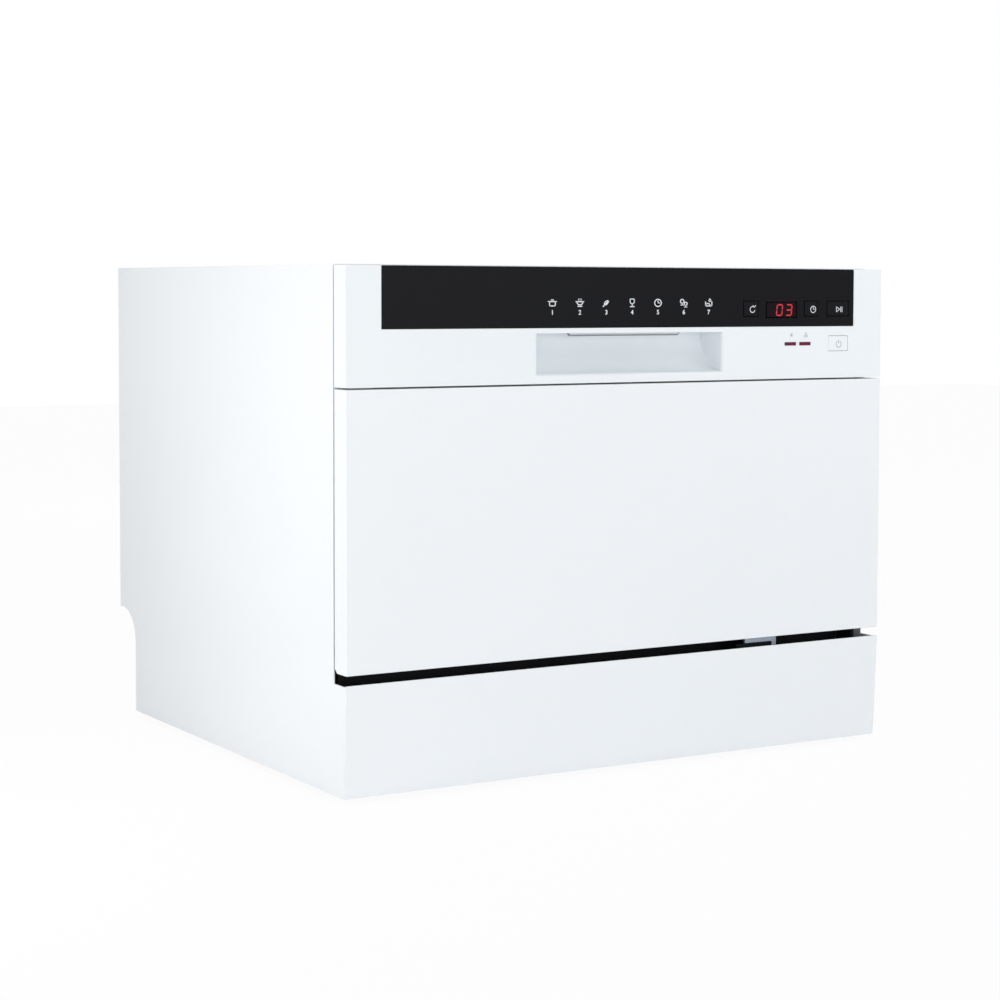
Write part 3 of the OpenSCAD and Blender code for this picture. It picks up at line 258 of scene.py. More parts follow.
wire_steel = shader("wire_steel", (176, 177, 179), 0.3, 1.0)
gloss(wire_steel, 0.22, 0.4, 120.0)
drift(wire_steel, (160, 150, 140), 50.0)

# Black finish for the zinc hinges: painted shade in the gap under the door.
black_steel = shader("black_steel", (24, 25, 27), 0.5, Specular_IOR_Level=0.1)
drift(black_steel, (32, 32, 33), 60.0)
gloss(black_steel, 0.42, 0.58, 90.0)
grain(black_steel, 0.00002, 1500.0)
print("stainless, zinc, heater and black steel")

# %% [markdown]
# ## Moulded plastics, rubber and coated wire
# Most parts inside are injection moulded. A moulded part has a satin skin with faint flow marks, so
# each gets a slow colour drift, a gloss drift and a fine grain; only the colour and the scale
# change. Rubber is darker and duller. The rack's wire is dipped in grey-blue nylon, which is glossy
# and slightly lumpy.

# %% Plastics, rubber and coated wire
def moulded(name, color, other, roughness, fine=1800.0, depth=0.00002, **sockets):
    """A satin moulding: its colour drifts to another, and fine and depth shape its grain."""
    mat = shader(name, color, roughness, **sockets)
    drift(mat, other, 12.0)
    gloss(mat, roughness - 0.05, roughness + 0.08, 35.0)
    grain(mat, depth, fine)
    return mat


light_grey_plastic = moulded("light_grey_plastic", (203, 207, 211), (196, 201, 206), 0.42)
grey_plastic = moulded("grey_plastic", (142, 148, 154), (133, 139, 146), 0.42)
dark_plastic = moulded("dark_plastic", (30, 31, 34), (24, 25, 27), 0.5, fine=900.0, depth=0.00004,
                       Specular_IOR_Level=0.2)
natural_plastic = moulded("natural_plastic", (228, 229, 226), (221, 222, 216), 0.4)
foam = moulded("foam", (236, 232, 222), (222, 216, 200), 0.75, fine=500.0, depth=0.00012)
black_rubber = moulded("black_rubber", (38, 38, 40), (30, 30, 33), 0.68, fine=1200.0, depth=0.00004)
grey_rubber = moulded("grey_rubber", (116, 119, 124), (104, 107, 112), 0.6, fine=1400.0,
                      depth=0.00004)
rack_coat = moulded("rack_coat", (172, 182, 192), (160, 171, 183), 0.26, fine=260.0, depth=0.00006)
board_green = moulded("board_green", (28, 92, 56), (20, 74, 46), 0.4, fine=700.0)
guide_plastic = moulded("guide_plastic", (226, 236, 252), (216, 228, 248), 0.4)
print("plastics, rubber and coated wire")

# %% [markdown]
# ## Which part has which finish
# The record names a material slot for each part. One small table turns a slot into a finish, and
# every part of the frame gets it at once. Parts that need more than a finish are made later.

# %% Give every part its finish
finish_of = {
    "white_paint": white_paint, "white_plastic": white_plastic, "black_gloss": black_gloss,
    "black_plastic": black_plastic, "red_window": red_window, "stainless": stainless,
    "zinc_steel": zinc_steel, "light_grey_plastic": light_grey_plastic,
    "grey_plastic": grey_plastic, "dark_plastic": dark_plastic, "rubber": black_rubber,
    "grey_rubber": grey_rubber, "rack_coat": rack_coat, "board_green": board_green,
    "white_moulding": natural_plastic, "float_white": foam,
}
slot_of = {row["node"]: row["material_slot"] for row in frame["record"]["subparts"]}
for name, node in nodes.items():
    node.data.materials.clear()
    node.data.materials.append(finish_of[slot_of[name]])
print(len(nodes), "parts have a finish")

# %% [markdown]
# ## Softened edges
# Folded sheet and moulded plastic never end in a knife edge: the fold has a radius and the mould is
# broken at its corners. Those radii catch a thin line of light, which is most of what the eye reads
# as real. A part of the frame is loose triangles, so a copy is welded first, its flat faces are
# dissolved into whole ones, and a Bevel modifier rounds only the edges that are sharp. The copy
# stands for the part, which stays as it is.

# %% A skin over a part
WELD = 0.000002      # vertices nearer than this become one
FLAT = 0.4           # faces that meet at fewer degrees than this become one
ROUND_FROM = 38      # edges that turn by more degrees than this are rounded


def shade(bm, sharp=32):
    """Smooth shading that stops at edges sharper than the angle."""
    for face in bm.faces:
        face.smooth = True
    for edge in bm.edges:
        edge.smooth = len(edge.link_faces) == 2 and edge.calc_face_angle() < math.radians(sharp)


def piece(name, bm, mat, body, edge=0.0):
    """An object from a bmesh, at the origin, that rides on a body."""
    mesh = bpy.data.meshes.new(name)
    bm.to_mesh(mesh)
    bm.free()
    mesh.materials.append(mat)
    obj = bpy.data.objects.new(name, mesh)
    bpy.context.scene.collection.objects.link(obj)
    if edge:
        rounding = obj.modifiers.new("rounded edges", "BEVEL")
        rounding.width = edge
        rounding.segments = 3
        rounding.limit_method = "ANGLE"
        rounding.angle_limit = math.radians(ROUND_FROM)
        rounding.harden_normals = True
    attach(obj, body)
    return obj


def welded(node):
    """A part's mesh with its triangles joined and its flat faces whole."""
    bm = bmesh.new()
    bm.from_mesh(nodes[node].data)
    bmesh.ops.remove_doubles(bm, verts=bm.verts, dist=WELD)
    bmesh.ops.dissolve_limit(bm, angle_limit=math.radians(FLAT), verts=bm.verts, edges=bm.edges)
    shade(bm)
    return bm


def skin(node, edge, mat=None, change=None):
    """A welded copy with rounded edges stands for the part; change may reshape the copy first."""
    bm = welded(node)
    if change:
        change(bm)
    obj = piece(node + "_skin", bm, mat or finish_of[slot_of[node]],
                nodes[node]["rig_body"], edge)
    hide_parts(node)
    return obj


print("skin helper ready")

# %% [markdown]
# ## The cabinet and the door outside
# Everything the photograph shows is here: door, control panel, kick plate, sides and top. Each has
# the radius that its making gives it, in metres: about 1 mm on folded sheet, a little less on the
# moulded panel, and very little on the black strip.

# %% Skins of the outside
outside = {
    "outer_door_panel": 0.0011, "control_panel": 0.001, "kick_plate": 0.0009,
    "side_panel_left": 0.0005, "side_panel_right": 0.0005, "top_cover": 0.0009,
    "rear_panel": 0.0002, "recess_panel": 0.0002, "kick_bracket": 0.0006, "fascia_strip": 0.0003,
    "power_button": 0.0005, "program_button": 0.0004, "delay_button": 0.0004,
    "start_button": 0.0004, "handle_lever": 0.0009, "base_tray": 0.0006, "rubber_feet": 0.0008,
    "display_window": 0.0003, "indicator_lenses": 0.0003,
}
# The kick bracket takes the black finish in place of its slot's: painted shade in the gap under the
# door.
own_finish = {"indicator_lenses": lamp_red, "kick_bracket": dark_plastic}
for name, edge in outside.items():
    skin(name, edge, own_finish.get(name))
print(len(outside), "outside parts have rounded edges")

# %% [markdown]
# ## The inside
# The tub, the inner door, the dispenser and the rack show when the door is open. Sheet gets a tiny
# radius and mouldings a larger one. Wire needs no radius, only smooth shading round its section.

# %% Skins of the inside
inside = {
    "tub_wrapper": 0.0003, "tub_back": 0.0, "tub_floor": 0.0003, "inner_door_panel": 0.0012,
    "door_gasket": 0.0018, "bottom_seal": 0.0006, "rack_rails": 0.0006,
    "detergent_dispenser": 0.0008, "dispenser_lid": 0.0006, "rinse_aid_cap": 0.0007,
    "latch_housing": 0.0006, "latch_hook": 0.0004, "door_catch": 0.0004,
    "hinge_arms": 0.0004, "hinge_brackets": 0.0004,
    "spray_arm": 0.0025, "filter_plate": 0.0003, "filter_cup": 0.0006, "salt_cap": 0.0008,
    "heater": 0.0, "rack_floor": 0.0, "rack_walls": 0.0, "plate_tines": 0.0,
    "front_wheels": 0.0006, "rear_wheels": 0.0006, "cup_shelf": 0.0, "cutlery_basket": 0.0007,
    "control_board": 0.0002, "air_breather": 0.002, "float_switch": 0.0004,
    "sump": 0.001, "wash_pump": 0.001, "drain_pump": 0.001, "water_softener": 0.0015,
    "inner_hoses": 0.0, "cabinet_screws": 0.0003, "door_screws": 0.0003,
}
# The hinges take the black finish as painted shade in the gap under the door.
own_finish.update({"heater": wire_steel, "hinge_arms": black_steel,
                   "hinge_brackets": black_steel})
for name, edge in inside.items():
    skin(name, edge, own_finish.get(name))
print(len(inside), "inside parts have rounded edges")

# %% [markdown]
# ## Fittings of the hose recess
# Three fittings end in the recess at the back. The water inlet has a pipe thread that takes the
# hose's nut, the drain spigot has barbs that hold the drain hose, and the cable gland has a hexagon
# for a spanner. A thread is one tooth swept along a helix: spin does that when it is also given a
# step along its axis. A barb is a saw tooth spun once round, and a hexagon is a ring spun in six
# steps. The pipes are drawn in to the root of the teeth, so that the crests have the fitting's
# size.

# %% Rings and drawn-in pipes
def spun(name, profile, centre, mat, body, steps=48, sharp=50):
    """A closed profile of (y, radius) spun round the axis along y through centre (x, z)."""
    bm = bmesh.new()
    points = [bm.verts.new((centre[0] + r, y, centre[1])) for y, r in profile]
    edges = [bm.edges.new(pair) for pair in zip(points, points[1:] + points[:1])]
    bmesh.ops.spin(bm, geom=points + edges, cent=(centre[0], 0, centre[1]), axis=(0, 1, 0),
                   angle=math.tau, steps=steps, use_merge=True)
    bmesh.ops.remove_doubles(bm, verts=bm.verts, dist=WELD / 2)
    bmesh.ops.recalc_face_normals(bm, faces=bm.faces)
    shade(bm, sharp)
    return piece(name, bm, mat, body)


def drawn_in(centre, radius, root, y_from):
    """A change for skin(): beyond y_from, the pipe of this radius gets the root radius."""
    def change(bm):
        for v in bm.verts:
            off = Vector((v.co.x - centre[0], 0, v.co.z - centre[1]))
            if v.co.y > y_from and abs(off.length - radius) < 0.0002:
                v.co -= off * (1 - root / radius)
    return change


def fitting(name):
    """Centre (x, z), first and last y, and radius of a fitting, from the record's mounts."""
    row = next(r for r in frame["record"]["mounts"] if r["name"] == name)
    x, y, z = row["pos_m"]
    half = row["dims"]["length_mm"] / 2000
    return (x, z), y - half, y + half, row["dims"]["r_mm"] / 1000


print("inlet and spigot:", fitting("water_inlet"), fitting("drain_spigot"))

# %% Thread, barbs and hexagon
PITCH, TOOTH, PER_TURN = 0.001814, 0.0011, 36     # pipe thread: pitch, depth, steps in a turn
BARB, BARB_STEP = 0.0009, 0.0055     # depth of a barb, and from one barb to the next
OVERLAP = 0.0001      # how far the foot of a tooth reaches into its pipe
EARLY = 0.0004        # a pipe is drawn in from this far before its mount

centre, start, end, radius = fitting("water_inlet")
skin("inlet_valve", 0.0004, change=drawn_in(centre, radius, radius - TOOTH, start - EARLY))
bm = bmesh.new()
tooth = [(-0.46, -TOOTH - OVERLAP), (-0.1, 0), (0.1, 0), (0.46, -TOOTH - OVERLAP)]
corners = [bm.verts.new((centre[0] + radius + dr, start + (dy + 0.75) * PITCH, centre[1]))
           for dy, dr in tooth]
section = bm.faces.new(corners)
turns = (end - start) / PITCH - 1.5
bmesh.ops.spin(bm, geom=corners + list(section.edges) + [section], cent=(centre[0], 0, centre[1]),
               axis=(0, 1, 0), dvec=(0, PITCH / PER_TURN, 0), angle=math.tau * turns,
               steps=round(turns * PER_TURN), use_merge=False)
bmesh.ops.recalc_face_normals(bm, faces=bm.faces)
shade(bm, 40)
piece("inlet_thread", bm, finish_of[slot_of["inlet_valve"]], "cabinet")

centre, start, _, radius = fitting("drain_spigot")
skin("drain_connector", 0.0004, change=drawn_in(centre, radius, radius - BARB, start - EARLY))
foot = radius - BARB - OVERLAP
for i in range(3):
    y = start + 0.0035 + i * BARB_STEP
    spun(f"drain_barb_{i + 1}", [(y, foot), (y, radius), (y + 0.0005, radius), (y + 0.005, foot)],
         centre, finish_of[slot_of["drain_connector"]], "cabinet")

centre, _, _, radius = fitting("cable_gland")
skin("cable_gland", 0.0012)
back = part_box("cable_gland")[1].y
hexagon = [(0.0092, 0.002), (0.0092, 0.0066), (0.0086, 0.0071),      # before the gland's end,
           (0.0041, 0.0071), (0.0035, 0.0064), (0.0035, 0.002)]      # beyond its radius
spun("gland_hexagon", [(back - dy, radius + dr) for dy, dr in hexagon], centre,
     finish_of[slot_of["cable_gland"]], "cabinet", steps=6, sharp=20)
print("thread of", round(turns, 1), "turns, three barbs, one hexagon")

# %% [markdown]
# ## Pressed beads
# Thin flat sheet drums and buckles, so beads are pressed into it. They stiffen the tub's walls, the
# inner door and the rear panel. A bead is a slim bar with round ends and a soft front edge, sunk a
# little into its sheet: a cube whose corners are bevelled round, then its front edge.

# %% Blocks, rounded edges and beads
SUNK = 0.0003      # how deep a bead's back lies under the sheet's surface


def block(bm, middle, size):
    """A cube drawn out to a size about its middle; returns its vertices."""
    place = Matrix.Translation(middle) @ Matrix.Diagonal((*size, 1))
    return bmesh.ops.create_cube(bm, size=1.0, matrix=place)["verts"]


def rounded(bm, edges, width, segments):
    """Rounds edges over a width; one segment makes a plain chamfer."""
    bmesh.ops.bevel(bm, geom=list(edges), offset=width, segments=segments, affect="EDGES",
                    profile=0.5, material=-1)


def deep(edge):
    """How far an edge runs from front to back."""
    return abs(edge.verts[0].co.y - edge.verts[1].co.y)


def add_mesh(bm, mesh):
    """Adds a mesh to a bmesh; the mesh is gone afterwards."""
    bm.from_mesh(mesh)
    bpy.data.meshes.remove(mesh)


def bead(length, width, proud, place):
    """The mesh of a bead that faces -y, moved from the origin to its place."""
    bm = bmesh.new()
    block(bm, (0, (SUNK - proud) / 2, 0), (length, proud + SUNK, width))
    rounded(bm, [e for e in bm.edges if deep(e) > proud / 2], width * 0.49, 8)
    front = [e for e in bm.edges if all(v.co.y < -proud * 0.9 for v in e.verts)]
    rounded(bm, front, proud * 0.9, 4)
    bmesh.ops.transform(bm, verts=bm.verts, matrix=place)
    mesh = bpy.data.meshes.new("bead")
    bm.to_mesh(mesh)
    bm.free()
    return mesh


def facing(direction, x, y, z):
    """The place of a bead that stands proud of a sheet at a point, towards a direction."""
    degrees, axis = {"front": (0, "Z"), "back": (180, "Z"), "right": (90, "Z"),
                     "left": (-90, "Z"), "down": (90, "X")}[direction]
    return Matrix.Translation((x, y, z)) @ Matrix.Rotation(math.radians(degrees), 4, axis)


def beads(name, node, length, width, proud, places):
    """One piece of equal beads on a part's sheet."""
    bm = bmesh.new()
    for place in places:
        add_mesh(bm, bead(length, width, proud, place))
    shade(bm, 40)
    return piece(name, bm, finish_of[slot_of[node]], nodes[node]["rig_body"])


print("blocks and beads ready")

# %% Beads of the tub and the rear panel
TUB_BEAD = (0.012, 0.0012)      # width, and how far it stands proud
REAR_BEAD = (0.016, 0.0014)
back_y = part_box("tub_back")[0].y
side_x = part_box("tub_wrapper")[1].x - 0.001
top_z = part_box("tub_wrapper")[1].z - 0.001
rear_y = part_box("rear_panel")[1].y
beads("tub_back_beads", "tub_back", 0.38, *TUB_BEAD,
      [facing("front", 0, back_y, z) for z in (0.19, 0.25, 0.31)])
beads("tub_side_beads", "tub_wrapper", 0.3, *TUB_BEAD,
      [facing(way, x, 0, z) for way, x in (("right", -side_x), ("left", side_x))
       for z in (0.23, 0.33)])
beads("tub_top_beads", "tub_wrapper", 0.36, *TUB_BEAD,
      [facing("down", 0, y, top_z) for y in (-0.11, 0, 0.11)])
beads("rear_beads", "rear_panel", 0.44, *REAR_BEAD,
      [facing("back", 0, rear_y, z) for z in (0.17, 0.25, 0.33)])
print("beads on the planes", [round(v, 4) for v in (back_y, side_x, top_z, rear_y)])

# %% Raised frame of the inner door
FRAME_WIDE, FRAME_THICK, FRAME_HIGH = 0.438, 0.0013, 0.24
CORNER, RIM, RIM_EDGE = 0.018, 0.009, 0.0009      # corner radius, width of the frame, its edge
FRAME_Z, HOLLOW = 0.27, 0.0012      # height of its middle, and how far its inside lies back

inner_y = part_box("inner_door_panel")[1].y
bm = bmesh.new()
block(bm, (0, inner_y + 0.00035, FRAME_Z), (FRAME_WIDE, FRAME_THICK, FRAME_HIGH))
rounded(bm, [e for e in bm.edges if deep(e) > 0.001], CORNER, 8)
face = max(bm.faces, key=lambda f: f.calc_center_median().y)
bmesh.ops.inset_region(bm, faces=[face], thickness=RIM, depth=0)
bmesh.ops.translate(bm, verts=face.verts, vec=(0, -HOLLOW, 0))
ridge = [e for e in bm.edges
         if all(v.co.y > inner_y + 0.0009 for v in e.verts) and e.calc_face_angle(0) > 0.5]
rounded(bm, ridge, RIM_EDGE, 3)
shade(bm, 40)
piece("inner_door_frame", bm, stainless, "door")
print("raised frame on the inner door at y", round(inner_y, 4))

# %% [markdown]
# ## Small pieces and painted shade
# Three small pieces show in the photograph. A thin black strip runs down each front edge of the
# cabinet, in the gap beside the door's sides: painted shade, so the gap there reads as a dark line.
# Under the handle lip runs a slim grey line with upturned ends: the painted shadow of the lip's
# lower edge. A pale guide pad stands behind the kick plate, where the gap under the door shows it.

# %% Painted shade strips in the door's side gaps
SHADE_STRIP_WIDE, SHADE_STRIP_THICK = 0.006, 0.0016

door_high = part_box("outer_door_panel")[1]
cabinet_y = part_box("side_panel_left")[0].y
hinge_z = next(j for j in frame["joints"] if j["name"] == "door_hinge")["pos_m"][2]
for side, name in ((-1, "door_buffer_left"), (1, "door_buffer_right")):
    bm = bmesh.new()
    middle = (side * (door_high.x - 0.0042), cabinet_y - 0.0007,
              (door_high.z + hinge_z + 0.003) / 2)
    block(bm, middle, (SHADE_STRIP_WIDE, SHADE_STRIP_THICK, door_high.z - hinge_z - 0.006))
    rounded(bm, bm.edges, 0.0005, 2)
    shade(bm, 40)
    # A black strip in the gap beside the door: painted shade.
    piece(name, bm, black_rubber, "cabinet")
print("shade_strips from z", round(hinge_z + 0.0045, 4), "to", round(door_high.z - 0.0015, 4))

# %% Painted shadow under the handle lip
# EDGE is half the width of the painted shadow line under the lip.
EDGE = 0.0005      # half the width of the edge
TURN_UP = (0.0022, 0.0026)      # how far its left and its right end turn up
INSET, LIFT = 0.0055, 0.0007    # from the lip's end, and from its underside

lip_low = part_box("handle_lever")[0]
lip_y = min(v.co.y for v in nodes["handle_lever"].data.vertices if v.co.z < lip_low.z + 0.003)
reach, low_z = -lip_low.x - INSET, lip_low.z + LIFT
path = [(-reach - TURN_UP[0], low_z + TURN_UP[0]), (-reach, low_z),
        (reach, low_z), (reach + TURN_UP[1], low_z + TURN_UP[1])]
bm = bmesh.new()
corners = ((-EDGE, -EDGE, -EDGE), (-EDGE, EDGE, -EDGE), (EDGE, EDGE, EDGE), (EDGE, -EDGE, EDGE))
face = bm.faces.new([bm.verts.new((path[0][0] + dx, lip_y + dy, path[0][1] + dz))
                     for dx, dy, dz in corners])
for (x0, z0), (x1, z1) in zip(path, path[1:]):
    new = bmesh.ops.extrude_face_region(bm, geom=[face])["geom"]
    face = next(f for f in new if isinstance(f, bmesh.types.BMFace))
    bmesh.ops.translate(bm, verts=face.verts, vec=(x1 - x0, 0, z1 - z0))
bmesh.ops.recalc_face_normals(bm, faces=bm.faces)
shade(bm, 30)
# A grey line as the painted shadow of the lip's lower edge.
piece("lip_edge", bm, grey_plastic, nodes["handle_lever"]["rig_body"])
print("edge of the lip at z", round(low_z, 4), "on the plane y", round(lip_y, 4))

# %% Guide pad
PAD_X, PAD_Z, PAD_SIZE = 0.158, 0.0955, (0.035, 0.003, 0.021)

pad_y = cabinet_y + 0.0018
bm = bmesh.new()
block(bm, (PAD_X, pad_y, PAD_Z), PAD_SIZE)
rounded(bm, bm.edges, 0.0008, 3)
shade(bm, 40)
piece("guide_pad", bm, guide_plastic, "cabinet")
print("guide pad behind the kick plate at y", round(pad_y, 4))

# %% [markdown]
# ## Printed symbols
# The symbols on the strip are screen printed: a film of white ink a few hundredths of a millimetre
# thick. Decals would need an image, so each symbol is drawn with real strokes. A straight stroke is
# a flattened cube and a round one is a small rectangle spun about the symbol's centre.

# %% Strokes of ink
INK = 0.00008      # thickness of the ink, half of it sunk into the surface


def bar(bm, start, end, width):
    """A straight stroke between two points (x, z) in the plane y = 0."""
    along = Vector((end[0] - start[0], 0, end[1] - start[1]))
    middle = Vector(((start[0] + end[0]) / 2, 0, (start[1] + end[1]) / 2))
    turn = Matrix.Rotation(-math.atan2(along.z, along.x), 4, "Y")
    size = Matrix.Diagonal((along.length + width, INK, width, 1))
    bmesh.ops.create_cube(bm, size=1.0, matrix=Matrix.Translation(middle) @ turn @ size)


def lines(bm, points, width):
    """Straight strokes from point to point."""
    for start, end in zip(points, points[1:]):
        bar(bm, start, end, width)


def arc(bm, centre, radius, width, start=0, turn=360, steps=24):
    """A round stroke; angles in degrees, from +x towards +z."""
    middle = (centre[0], 0, centre[1])
    across = [bm.verts.new((radius + i * width / 2, j * INK / 2, 0))
              for i, j in ((-1, -1), (1, -1), (1, 1), (-1, 1))]
    whole = turn >= 360
    if whole:
        rim = [bm.edges.new(pair) for pair in zip(across, across[1:] + across[:1])]
    else:
        section = bm.faces.new(across)
        rim = list(section.edges) + [section]
    bmesh.ops.rotate(bm, verts=across, cent=(0, 0, 0),
                     matrix=Matrix.Rotation(-math.radians(start), 3, "Y"))
    bmesh.ops.translate(bm, verts=across, vec=middle)
    bmesh.ops.spin(bm, geom=across + rim, cent=middle, axis=(0, -1, 0),
                   angle=math.radians(turn), steps=steps, use_merge=whole)


def printed(name, bm, mat, body, place, unit=0.001):
    """Moves a drawing in millimetres to its place (x, y, z) and makes it a piece."""
    bmesh.ops.scale(bm, verts=bm.verts, vec=(unit, 1, unit))
    bmesh.ops.translate(bm, verts=bm.verts, vec=place)
    bmesh.ops.recalc_face_normals(bm, faces=bm.faces)
    return piece(name, bm, mat, body)


white_ink = shader("white_ink", (236, 238, 240), 0.5)
drift(white_ink, (224, 228, 232), 800.0)
grey_ink = shader("grey_ink", (158, 165, 172), 0.5)
drift(grey_ink, (146, 154, 162), 800.0)
print("ink ready")

# %% [markdown]
# ## The strip's symbols
# Seven programmes are shown by a small picture and a plain number each: a pot for heavy soil, a
# bowl for normal, a leaf for the saving one, a glass, a clock for the quick one, two cups, and a
# basin for self cleaning. The pictures are the builder's own, drawn in millimetres about their
# middles. The numbers are text turned into a mesh, because an outline font gives better curves
# than strokes.

# %% Seven pictures
def pot(bm, w):
    lines(bm, [(-3, 1.2), (-3, -3), (3, -3), (3, 1.2)], w)
    bar(bm, (-4.2, 1.4), (4.2, 1.4), w)
    bar(bm, (-0.9, 3), (0.9, 3), w)


def bowl(bm, w):
    arc(bm, (0, 1.2), 3.2, w, 180, 180)
    bar(bm, (-4, 1.3), (4, 1.3), w)
    bar(bm, (-2, -3.4), (2, -3.4), w)
    for x in (-1.2, 1.2):
        bar(bm, (x, 2.8), (x, 4), w * 0.8)


def leaf(bm, w):
    arc(bm, (2.2, -2.2), 4.6, w, 95, 80)
    arc(bm, (-2.4, 2.4), 4.6, w, 275, 80)
    bar(bm, (-3.4, -3.6), (1.2, 1), w)


def glass(bm, w):
    for x in (-2.3, 2.3):
        bar(bm, (x, 4), (x, 1.4), w)
    arc(bm, (0, 1.4), 2.3, w, 180, 180)
    bar(bm, (-2.3, 4), (2.3, 4), w)
    bar(bm, (0, -0.9), (0, -3.6), w)
    bar(bm, (-2, -3.8), (2, -3.8), w)


def clock(bm, w):
    arc(bm, (0, 0), 3.7, w)
    lines(bm, [(0, 2.1), (0, 0), (1.7, 0)], w)


def two_cups(bm, w):
    for x, z, r in ((-1.9, 1.6, 2.0), (2.1, -0.9, 1.6)):
        arc(bm, (x, z), r, w)
        bar(bm, (x, z - r), (x, z - r - 1.7), w)
        bar(bm, (x - 1.2, z - r - 1.8), (x + 1.2, z - r - 1.8), w)


def basin(bm, w):
    lines(bm, [(-3.6, 1), (-3.6, -3.2), (3.6, -3.2), (3.6, 1)], w)
    arc(bm, (-1, -3.2), 2.6, w, 20, 140)
    arc(bm, (1.3, 2.6), 1.1, w, 180, 180, 12)
    lines(bm, [(0.2, 2.6), (1.3, 4.5), (2.4, 2.6)], w)


def place_on_strip(bm, start, x, z):
    """Moves what was drawn since start from the middle to (x, z)."""
    bmesh.ops.translate(bm, verts=list(bm.verts)[start:], vec=(x, 0, z))


STROKE = 1.0                        # millimetres, as are all drawings
PICTURE_SCALE = (0.94, 1, 0.84)
PICTURE_Z, NUMBER_Z, NUMBER_HIGH = 406.6, 398.4, 3.9

STRIP_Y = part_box("fascia_strip")[0].y
pictures = [pot, bowl, leaf, glass, clock, two_cups, basin]
symbol_xs = [-80.9, -53.5, -26.7, -0.2, 26.6, 53.9, 80.5]
bm = bmesh.new()
for draw, x in zip(pictures, symbol_xs):
    done = len(bm.verts)
    draw(bm, STROKE)
    bmesh.ops.scale(bm, verts=list(bm.verts)[done:], vec=PICTURE_SCALE)
    place_on_strip(bm, done, x, PICTURE_Z)
printed("programme_pictures", bm, white_ink, "door", (0, STRIP_Y, 0))
print(len(pictures), "pictures on the strip")

# %% Plain numbers
DIGIT_SHARE = 0.72      # height of a digit as a share of the font's size
FATTER = 0.12           # how far the outline is pushed out, in millimetres


def number_mesh(text, height):
    """The outline of a number as a mesh, upright, its middle at the origin, in millimetres."""
    curve = bpy.data.curves.new("number", "FONT")
    curve.body = text
    curve.align_x, curve.align_y = "CENTER", "CENTER"
    curve.size = height / DIGIT_SHARE
    curve.offset = FATTER
    curve.extrude = INK / 2
    curve.resolution_u = 4
    shape = bpy.data.objects.new("number", curve)
    bpy.context.scene.collection.objects.link(shape)
    bpy.context.view_layer.update()
    mesh = bpy.data.meshes.new_from_object(shape)
    bpy.data.objects.remove(shape)
    bpy.data.curves.remove(curve)
    mesh.transform(Matrix.Rotation(math.radians(90), 4, "X"))
    return mesh


bm = bmesh.new()
for i, x in enumerate(symbol_xs):
    done = len(bm.verts)
    add_mesh(bm, number_mesh(str(i + 1), NUMBER_HIGH))
    place_on_strip(bm, done, x, NUMBER_Z)
printed("programme_numbers", bm, white_ink, "door", (0, STRIP_Y, 0))
print("numbers 1 to", len(symbol_xs))

# %% [markdown]
# ## Symbols on the buttons and lamps
# A button's symbol moves in with the button, so each is its own piece on the button's body. The
# lamps show what is running out: a star of crossed strokes for rinse aid, grains for salt.

# %% Button symbols
BELOW = 0.0007      # how far under a button's middle its symbol sits


def on_button(name, node, mat, draw, width, aside):
    """A symbol on a button's face, a little aside of and below its middle as on the machine."""
    bm = bmesh.new()
    draw(bm, width)
    low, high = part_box(node)
    place = ((low.x + high.x) / 2 + aside, low.y, (low.z + high.z) / 2 - BELOW)
    return printed(name, bm, mat, nodes[node]["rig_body"], place)


def next_arrow(bm, w):
    arc(bm, (0, 0), 2.6, w, 60, 290)
    lines(bm, [(0.6, 3.5), (2.1, 1.9), (3.4, 3.6)], w)


def small_clock(bm, w):
    arc(bm, (0, 0), 2.9, w)
    lines(bm, [(0, 1.7), (0, 0), (1.3, 0)], w)


def play_pause(bm, w):
    lines(bm, [(-3.2, 2.3), (-3.2, -2.3), (0.6, 0), (-3.2, 2.3)], w)
    for x in (1.8, 3.3):
        bar(bm, (x, 2.2), (x, -2.2), w)


def power_sign(bm, w):
    arc(bm, (0, 0), 2.9, w, 120, 300)
    bar(bm, (0, 0.8), (0, 3.5), w)


on_button("programme_symbol", "program_button", white_ink, next_arrow, 0.65, 0.0014)
on_button("delay_symbol", "delay_button", white_ink, small_clock, 0.65, 0.0022)
on_button("start_symbol", "start_button", white_ink, play_pause, 0.65, 0.0014)
on_button("power_symbol", "power_button", grey_ink, power_sign, 0.6, 0.0008)
print("symbols on four buttons")

# %% Lamp symbols
STAR_X, STAR_Z, STAR_ARM = 171.7, 377.7, 2
GRAINS = ((186.9, 376.6), (189.3, 376.6), (188.1, 378.8))
GRAIN_R, THIN = 0.9, 0.4

panel_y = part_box("control_panel")[0].y
bm = bmesh.new()
for turn in (0, 60, 120):
    dx = STAR_ARM * math.cos(math.radians(turn))
    dz = STAR_ARM * math.sin(math.radians(turn))
    bar(bm, (STAR_X - dx, STAR_Z - dz), (STAR_X + dx, STAR_Z + dz), THIN)
for centre in GRAINS:
    arc(bm, centre, GRAIN_R, THIN, steps=12)
printed("lamp_symbols", bm, grey_ink, "door", (0, panel_y, 0))
print("a star of", STAR_ARM * 2, "mm and", len(GRAINS), "grains")

# %% [markdown]
# ## Dark outlines
# A button needs a little room in its hole, and on a black strip that gap reads as a line blacker
# than the strip. The real one is a shaded groove with broken corners. It is drawn here as a matt
# black line round the hole, as wide as gap and broken corner together, because the frame's gap
# alone is too narrow to see. The display's filter has a printed black border of the same kind.

